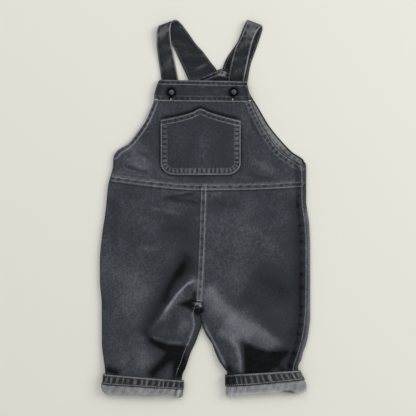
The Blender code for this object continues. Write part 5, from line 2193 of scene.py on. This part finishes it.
class Cuffs:
    """Turned-up leg ends, wrong side out, each with its dark hem strip."""

    # place along the profile, level
    LEVELS = Curve(((0.0, 0.06), (0.30, 0.98), (0.42, 1.35), (0.55, 1.8), (0.64, 1.97), (0.68, 2.0),
                    (0.72, 1.97), (0.80, 1.75), (1.0, 1.1)))
    # place along the profile, lift
    LIFTS = Curve(((0.0, 2.0), (0.30, 2.0), (0.42, 2.5), (0.55, 2.4), (0.64, 1.7), (0.68, 1.0),
                   (0.72, 0.3), (0.80, 0.0), (1.0, 0.0)))

    def __init__(self, form: LaidForm) -> None:
        """Holds the garment's shape."""
        self.form = form
        self.hems: dict[Leg, ClothSheet] = {}

    def _ring(self, leg: Leg, level: float, lift: float, crumple: float) -> np.ndarray:
        """One ring of places round a leg's end.

        Args:
            leg: Which leg.
            level: Level on the cuff.
            lift: How far outside the leg's own layer.
            crumple: Share of the small creases.

        Returns:
            The ring's places.
        """
        if level <= 1.0:
            y = mix(HEM_TOP_Y, HEM_BOTTOM_Y, level)
        else:
            y = mix(HEM_BOTTOM_Y, TURN_Y, level - 1.0)
        tube = Tube(self.form, leg, float(y), lift)
        ground = tube.top + tube.inner_turn
        stops = (0.0, tube.top, ground, ground + tube.top, tube.round_trip)
        length = spread(stops, (130, 14, 70, 14))[:-1]
        x, z, _ = tube.place(length)
        on_top = (length < tube.top) * smooth(length / 5.0) * smooth((tube.top - length) / 5.0)
        z = z + on_top * crumple * self._crumple(leg, x, level)
        shifted = cuff_y(leg, x, level)
        if leg is Leg.LEFT:
            lip = 3.4 * bell(x, 132.0, 9.0) * smooth((level - 1.4) / 0.6)
            shifted = shifted + on_top * lip
        return np.stack([x, shifted, z], axis=1)

    def _crumple(self, leg: Leg, x: np.ndarray, level: float) -> np.ndarray:
        """Small creases of the turned-up cloth, strongest at the inner end of the right cuff.

        Args:
            leg: Which leg.
            x: Places across.
            level: Level on the cuff.

        Returns:
            The rise in millimetres.
        """
        end, reach = (-44.0, 14.0) if leg is Leg.RIGHT else (40.0, 10.0)
        inner = bell(x, end, reach)
        slow = 0.45 * np.sin(x / 9.0 + 2.0 * level) + 0.25 * np.sin(x / 4.1 + 1.3 - 3.0 * level)
        return slow + 1.3 * inner * np.sin(x / 2.1 + 1.5 * level)

    def turned(self, leg: Leg) -> ClothSheet:
        """The turned-up cloth, from under the hem strip round the turned edge to the leg's end.

        Args:
            leg: Which leg.

        Returns:
            The cuff as a sheet.
        """
        places = np.linspace(0.0, 1.0, 50)
        rows = []
        for place in places:
            level, lift = float(self.LEVELS.at(place)), float(self.LIFTS.at(place))
            free = float(smooth((place - 0.28) / 0.08) * smooth((0.7 - place) / 0.08))
            rows.append(self._ring(leg, level, lift, free))
        grid = np.array(rows)
        x = grid[:, :, 0]
        edge = bell(places, 0.63, 0.07)[:, None]
        # dark line on the turned cloth just under the hem strip's edge: painted shadow of the strip
        under_hem = bell(places, 0.31, 0.03)[:, None]
        patchy = np.sin(x / 2.7 + 1.4 * np.sin(x / 9.0)) * np.sin(14.0 * places[:, None] + x / 6.0)
        crumpled = bell(x, -42.0, 11.0) * np.sin(x / 1.5 + 9.0 * places[:, None])
        # dark gap under the left cuff's lip: painted shade
        shade_under_lip = bell(places, 0.635, 0.07)[:, None] * bell(x, 131.0, 11.0, 4)
        low = smooth((places - 0.46) / 0.2)[:, None] * (leg is Leg.LEFT)
        wear_and_shading = 0.35 * edge - 0.8 * under_hem + 0.22 * patchy + 0.5 * crumpled + 0.74 * low
        wear_and_shading = wear_and_shading - (1.8 * shade_under_lip if leg is Leg.LEFT else 0.0)
        wear_and_shading = np.clip(wear_and_shading, -1.0, 1.0)
        return ClothSheet(f"cuff_{leg.value}_cloth", grid, WALL, self._outward(grid), wear_and_shading, ring=True)

    def hem(self, leg: Leg) -> ClothSheet:
        """The hem strip round the cuff, roped into small slanting puckers by its two rows.

        Args:
            leg: Which leg.

        Returns:
            The strip as a sheet.
        """
        levels = np.linspace(0.0, 1.0, 21)
        grid = np.array([self._ring(leg, float(level), HEM_LIFT, 0.0) for level in levels])
        around = np.cumsum(np.linalg.norm(np.diff(grid[7], axis=0, prepend=grid[7][:1]), axis=1))
        slant = around[None, :] + 2.0 * levels[:, None]
        rope = np.sin(
            slant / 1.4 + 1.5 * np.sin(around[None, :] / 15.0) + 0.8 * np.sin(around[None, :] / 4.7)
        )
        ridge = smooth(0.2 + 0.9 * rope)
        middle = bell(levels, 0.5, 0.33, 4)[:, None]
        sheet = ClothSheet(f"cuff_hem_{leg.value}_cloth", grid, WALL, self._outward(grid), ring=True)
        grid += sheet.normals * (0.45 * (ridge - 0.3) * middle + 0.12 * middle)[:, :, None]
        grid[:, :, 2] = np.maximum(grid[:, :, 2], WALL / 2 + 0.05)
        # place, width and strength of each pale or dark line along the strip; the dark line at the lower
        # edge is painted shade where the strip's edge turns under
        lines = ((0.02, 0.07, 0.50), (0.90, 0.06, 0.34), (1.0, 0.05, -0.6))
        edges = sum(strength * bell(levels, at, wide) for at, wide, strength in lines)
        dark_end = 0.7 * bell(grid[:, :, 0], 38.0, 9.0, 4) if leg is Leg.LEFT else 0.0
        strength = 0.75 + 0.3 * np.sin(around / 11.0 + 1.0) * np.sin(around / 4.3)
        cells = middle * strength[None, :] * (0.52 * ridge - 0.14)
        sheet.wear_and_shading = np.clip(edges[:, None] + cells - dark_end, -1.0, 1.0)
        sheet.inner_wear_and_shading = np.zeros_like(sheet.wear_and_shading)
        return sheet

    def _outward(self, grid: np.ndarray) -> np.ndarray:
        """Direction out of the ring at the grid's middle place.

        Args:
            grid: Places of the ring's cloth.

        Returns:
            The direction.
        """
        row, column = grid.shape[0] // 2, grid.shape[1] // 2
        out = grid[row, column] - grid[row].mean(axis=0)
        return np.array([0.0, 0.0, out[2]])

    def build(self, finishes: Finishes) -> None:
        """Makes both cuffs and both hem strips.

        Args:
            finishes: The shared materials.
        """
        for leg in Leg:
            turned, hem = self.turned(leg), self.hem(leg)
            self.hems[leg] = hem
            light_out = (finishes.inside, finishes.outside)
            piece = turned.build(light_out, "denim_wrong_side", f"cuff_{leg.value}")
            round(turned.flat_area(), 4)
            strip = hem.build((finishes.hem, finishes.inside), "denim", f"cuff_hem_{leg.value}")
            round(hem.flat_area(), 4)

    def sew(self, sewing: Sewing) -> None:
        """Sews the two rows round each hem strip.

        Args:
            sewing: Where the stitches go.
        """
        for sheet in self.hems.values():
            rows, columns = sheet.grid.shape[:2]
            around = np.linspace(0.0, columns - 0.01, 400)
            for level in (0.08, 0.92):
                row = np.full(len(around), level * (rows - 1))
                points, normals = sheet.sample(row, around, WALL / 2 + 0.02)
                points[:, 2] = np.maximum(points[:, 2], 0.4)
                sewing.row(points, normals)


@dataclass
class MetalButton:
    """Pressed metal button: rolled rim, dished face with a raised centre, shank through the slot."""

    side: Leg
    radius: float = 7.5
    blank: float = 1.2

    def build(self, finishes: Finishes, form: LaidForm) -> bpy.types.Object:
        """Models the button.

        Args:
            finishes: The shared materials.
            form: The garment's shape, for the button's seat.

        Returns:
            The new object.
        """
        x = BUTTON_X[self.side]
        seat = float(form.top(x + self.radius, BUTTON_Y)) + LAYER + WALL / 2 + 0.6
        bpy.ops.object.select_all(action="DESELECT")
        bpy.ops.mesh.primitive_cylinder_add(
            vertices=64, radius=self.radius * MM, depth=self.blank * MM,
            location=(x * MM, BUTTON_Y * MM, (seat + 0.8) * MM),
        )
        piece = bpy.context.object
        piece.name = f"metal_button_{self.side.value}"
        bpy.ops.object.transform_apply(location=True, rotation=True, scale=True)
        self._shape_face(piece)
        bevel = piece.modifiers.new("soft_edges", "BEVEL")
        bevel.width = 0.28 * MM
        bevel.segments = 3
        bevel.limit_method = "ANGLE"
        bevel.angle_limit = math.radians(35.0)
        select_only(piece)
        bpy.ops.object.modifier_apply(modifier=bevel.name)
        bpy.ops.object.shade_smooth_by_angle(angle=math.radians(40.0))
        piece.data.materials.append(finishes.metal)
        piece.data.materials.append(finishes.rubbed_and_lit)
        # a paler copy of the plating on the up-facing faces of the raised centre, set towards the light:
        # rubbing and a painted highlight
        for face in piece.data.polygons:
            from_rub_and_highlight = math.hypot(face.center.x - (x + 0.5) * MM, face.center.y - BUTTON_Y * MM)
            face.material_index = int(face.normal.z > 0.3 and from_rub_and_highlight < 3.9 * MM)
        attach(piece, BODY)
        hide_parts(f"button_{self.side.value}")
        LOG.info("%s: seat at %.2f mm", piece.name, seat)
        return piece

    def _shape_face(self, piece: bpy.types.Object) -> None:
        """Insets and moves the face in rings, and draws the shank out below.

        Args:
            piece: The disc.
        """
        # inset and rise of each ring of the face, in millimetres
        face_rings = (
            (0.7, 0.9), (0.9, 0.25), (0.8, -0.9), (0.6, -0.35),
            (1.2, 0.1), (1.0, 0.35), (0.8, 0.15),
        )
        select_only(piece)
        self._pick_cap(piece, up=True)
        for inset, rise in face_rings:
            bpy.ops.mesh.inset(thickness=inset * MM, depth=0.0)
            bpy.ops.transform.translate(value=(0.0, 0.0, rise * MM))
        bpy.ops.object.mode_set(mode="OBJECT")
        self._pick_cap(piece, up=False)
        bpy.ops.mesh.inset(thickness=(self.radius - 1.5) * MM, depth=0.0)
        bpy.ops.mesh.extrude_region_move(TRANSFORM_OT_translate={"value": (0.0, 0.0, -2.6 * MM)})
        bpy.ops.object.mode_set(mode="OBJECT")

    def _pick_cap(self, piece: bpy.types.Object, up: bool) -> None:
        """Selects only the disc's upper or lower end face, and enters edit mode.

        Args:
            piece: The disc.
            up: The upper face, or else the lower.
        """
        bpy.ops.object.mode_set(mode="EDIT")
        bpy.ops.mesh.select_mode(type="FACE")
        bpy.ops.mesh.select_all(action="DESELECT")
        bpy.ops.object.mode_set(mode="OBJECT")
        caps = [f for f in piece.data.polygons if (f.normal.z > 0.9 if up else f.normal.z < -0.9)]
        height = max(f.center.z for f in caps) if up else min(f.center.z for f in caps)
        for face in caps:
            face.select = abs(face.center.z - height) < 1e-6
        bpy.ops.object.mode_set(mode="EDIT")


@dataclass
class Studio:
    """Pale floor, soft light from the photo's right, and a camera straight above."""

    width: float = 0.6552
    centre: tuple[float, float] = (0.0047, 0.0008)
    height: float = 2.2
    sensor: float = 36.0
    key_watts: float = 50.0
    fill_watts: float = 13.0
    sky: float = 0.62
    floor_size: float = 8.0
    floor_drop: float = 0.0003

    def build(self, finishes: Finishes) -> None:
        """Sets up floor, lights, camera and colour handling.

        Args:
            finishes: The shared materials.
        """
        self._floor(finishes)
        self._camera()
        self._light("key_softbox", (2.5, 0.9, 1.75), 1.8, self.key_watts, "#fffdf8")
        self._light("overhead_softbox", (-1.0, 1.4, 2.1), 1.6, self.fill_watts, "#f8faff")
        world = bpy.data.worlds.new("studio")
        world.use_nodes = True
        world.node_tree.nodes["Background"].inputs["Color"].default_value = srgb("#f2f2f0")
        world.node_tree.nodes["Background"].inputs["Strength"].default_value = self.sky
        bpy.context.scene.world = world
        bpy.context.scene.view_settings.view_transform = "Standard"
        bpy.context.scene.view_settings.look = "None"
        LOG.info("studio ready")

    def _floor(self, finishes: Finishes) -> None:
        """Large matt floor just under the garment.

        Args:
            finishes: The shared materials.
        """
        bpy.ops.object.select_all(action="DESELECT")
        bpy.ops.mesh.primitive_plane_add(size=self.floor_size, location=(0.0, 0.0, -self.floor_drop))
        floor = bpy.context.object
        floor.name = "studio_floor"
        floor.data.materials.append(finishes.paper)

    def _camera(self) -> None:
        """Camera straight above, framed as the photograph is."""
        data = bpy.data.cameras.new("photo_camera")
        data.sensor_width = self.sensor
        data.lens = self.sensor * self.height / self.width
        camera = bpy.data.objects.new("photo_camera", data)
        camera.location = (self.centre[0], self.centre[1], self.height)
        bpy.context.scene.collection.objects.link(camera)
        bpy.context.scene.camera = camera

    def _light(
        self, name: str, place: tuple[float, float, float], size: float, watts: float, colour: str,
    ) -> None:
        """A square softbox aimed at the garment.

        Args:
            name: The lamp's name.
            place: Its place in metres.
            size: Width of the softbox in metres.
            watts: Its power.
            colour: Its sRGB hex colour.
        """
        data = bpy.data.lights.new(name, "AREA")
        data.shape = "SQUARE"
        data.size = size
        data.energy = watts
        data.color = srgb(colour)[:3]
        lamp = bpy.data.objects.new(name, data)
        lamp.location = place
        away = np.array(place) / np.linalg.norm(place)
        lamp.rotation_mode = "QUATERNION"
        lamp.rotation_quaternion = Vector(away).to_track_quat("Z", "Y")
        bpy.context.scene.collection.objects.link(lamp)


def main() -> None:
    """Builds every piece in order."""
    logging.basicConfig(level=logging.INFO, format="%(name)s: %(message)s")
    finishes = make_finishes()
    Studio().build(finishes)
    form = LaidForm()
    seams = Sewing("seam_stitching")
    worn, tacks = Sewing("worn_stitching"), Sewing("bar_tacks")
    legs, bib, straps, cuffs = Legs(form), Bib(form), Straps(), Cuffs(form)
    legs.build(finishes)
    bib.build(finishes)
    straps.build(finishes)
    cuffs.build(finishes)
    fronts = [sheet for (side, _), sheet in legs.sheets.items() if side is Side.FRONT]
    backs = [sheet for (side, _), sheet in legs.sheets.items() if side is Side.BACK]
    shown = [bib.sheets[node] for node in ("front_bib", "bib_band", "bib_pocket")]
    top = Surface(fronts + backs + shown)
    under = Surface(backs + [bib.sheets["back_bib"]])
    legs.sew(seams, top, under)
    bib.sew(seams, worn, tacks, top, under)
    straps.sew(seams)
    cuffs.sew(seams)
    seams.build(finishes.thread, "denim_wrong_side")
    worn.build(finishes.worn_thread, "denim_wrong_side")
    tacks.build(finishes.tack, "denim_wrong_side")
    for side in Leg:
        MetalButton(side).build(finishes, form)


if __name__ == "__main__":
    main()
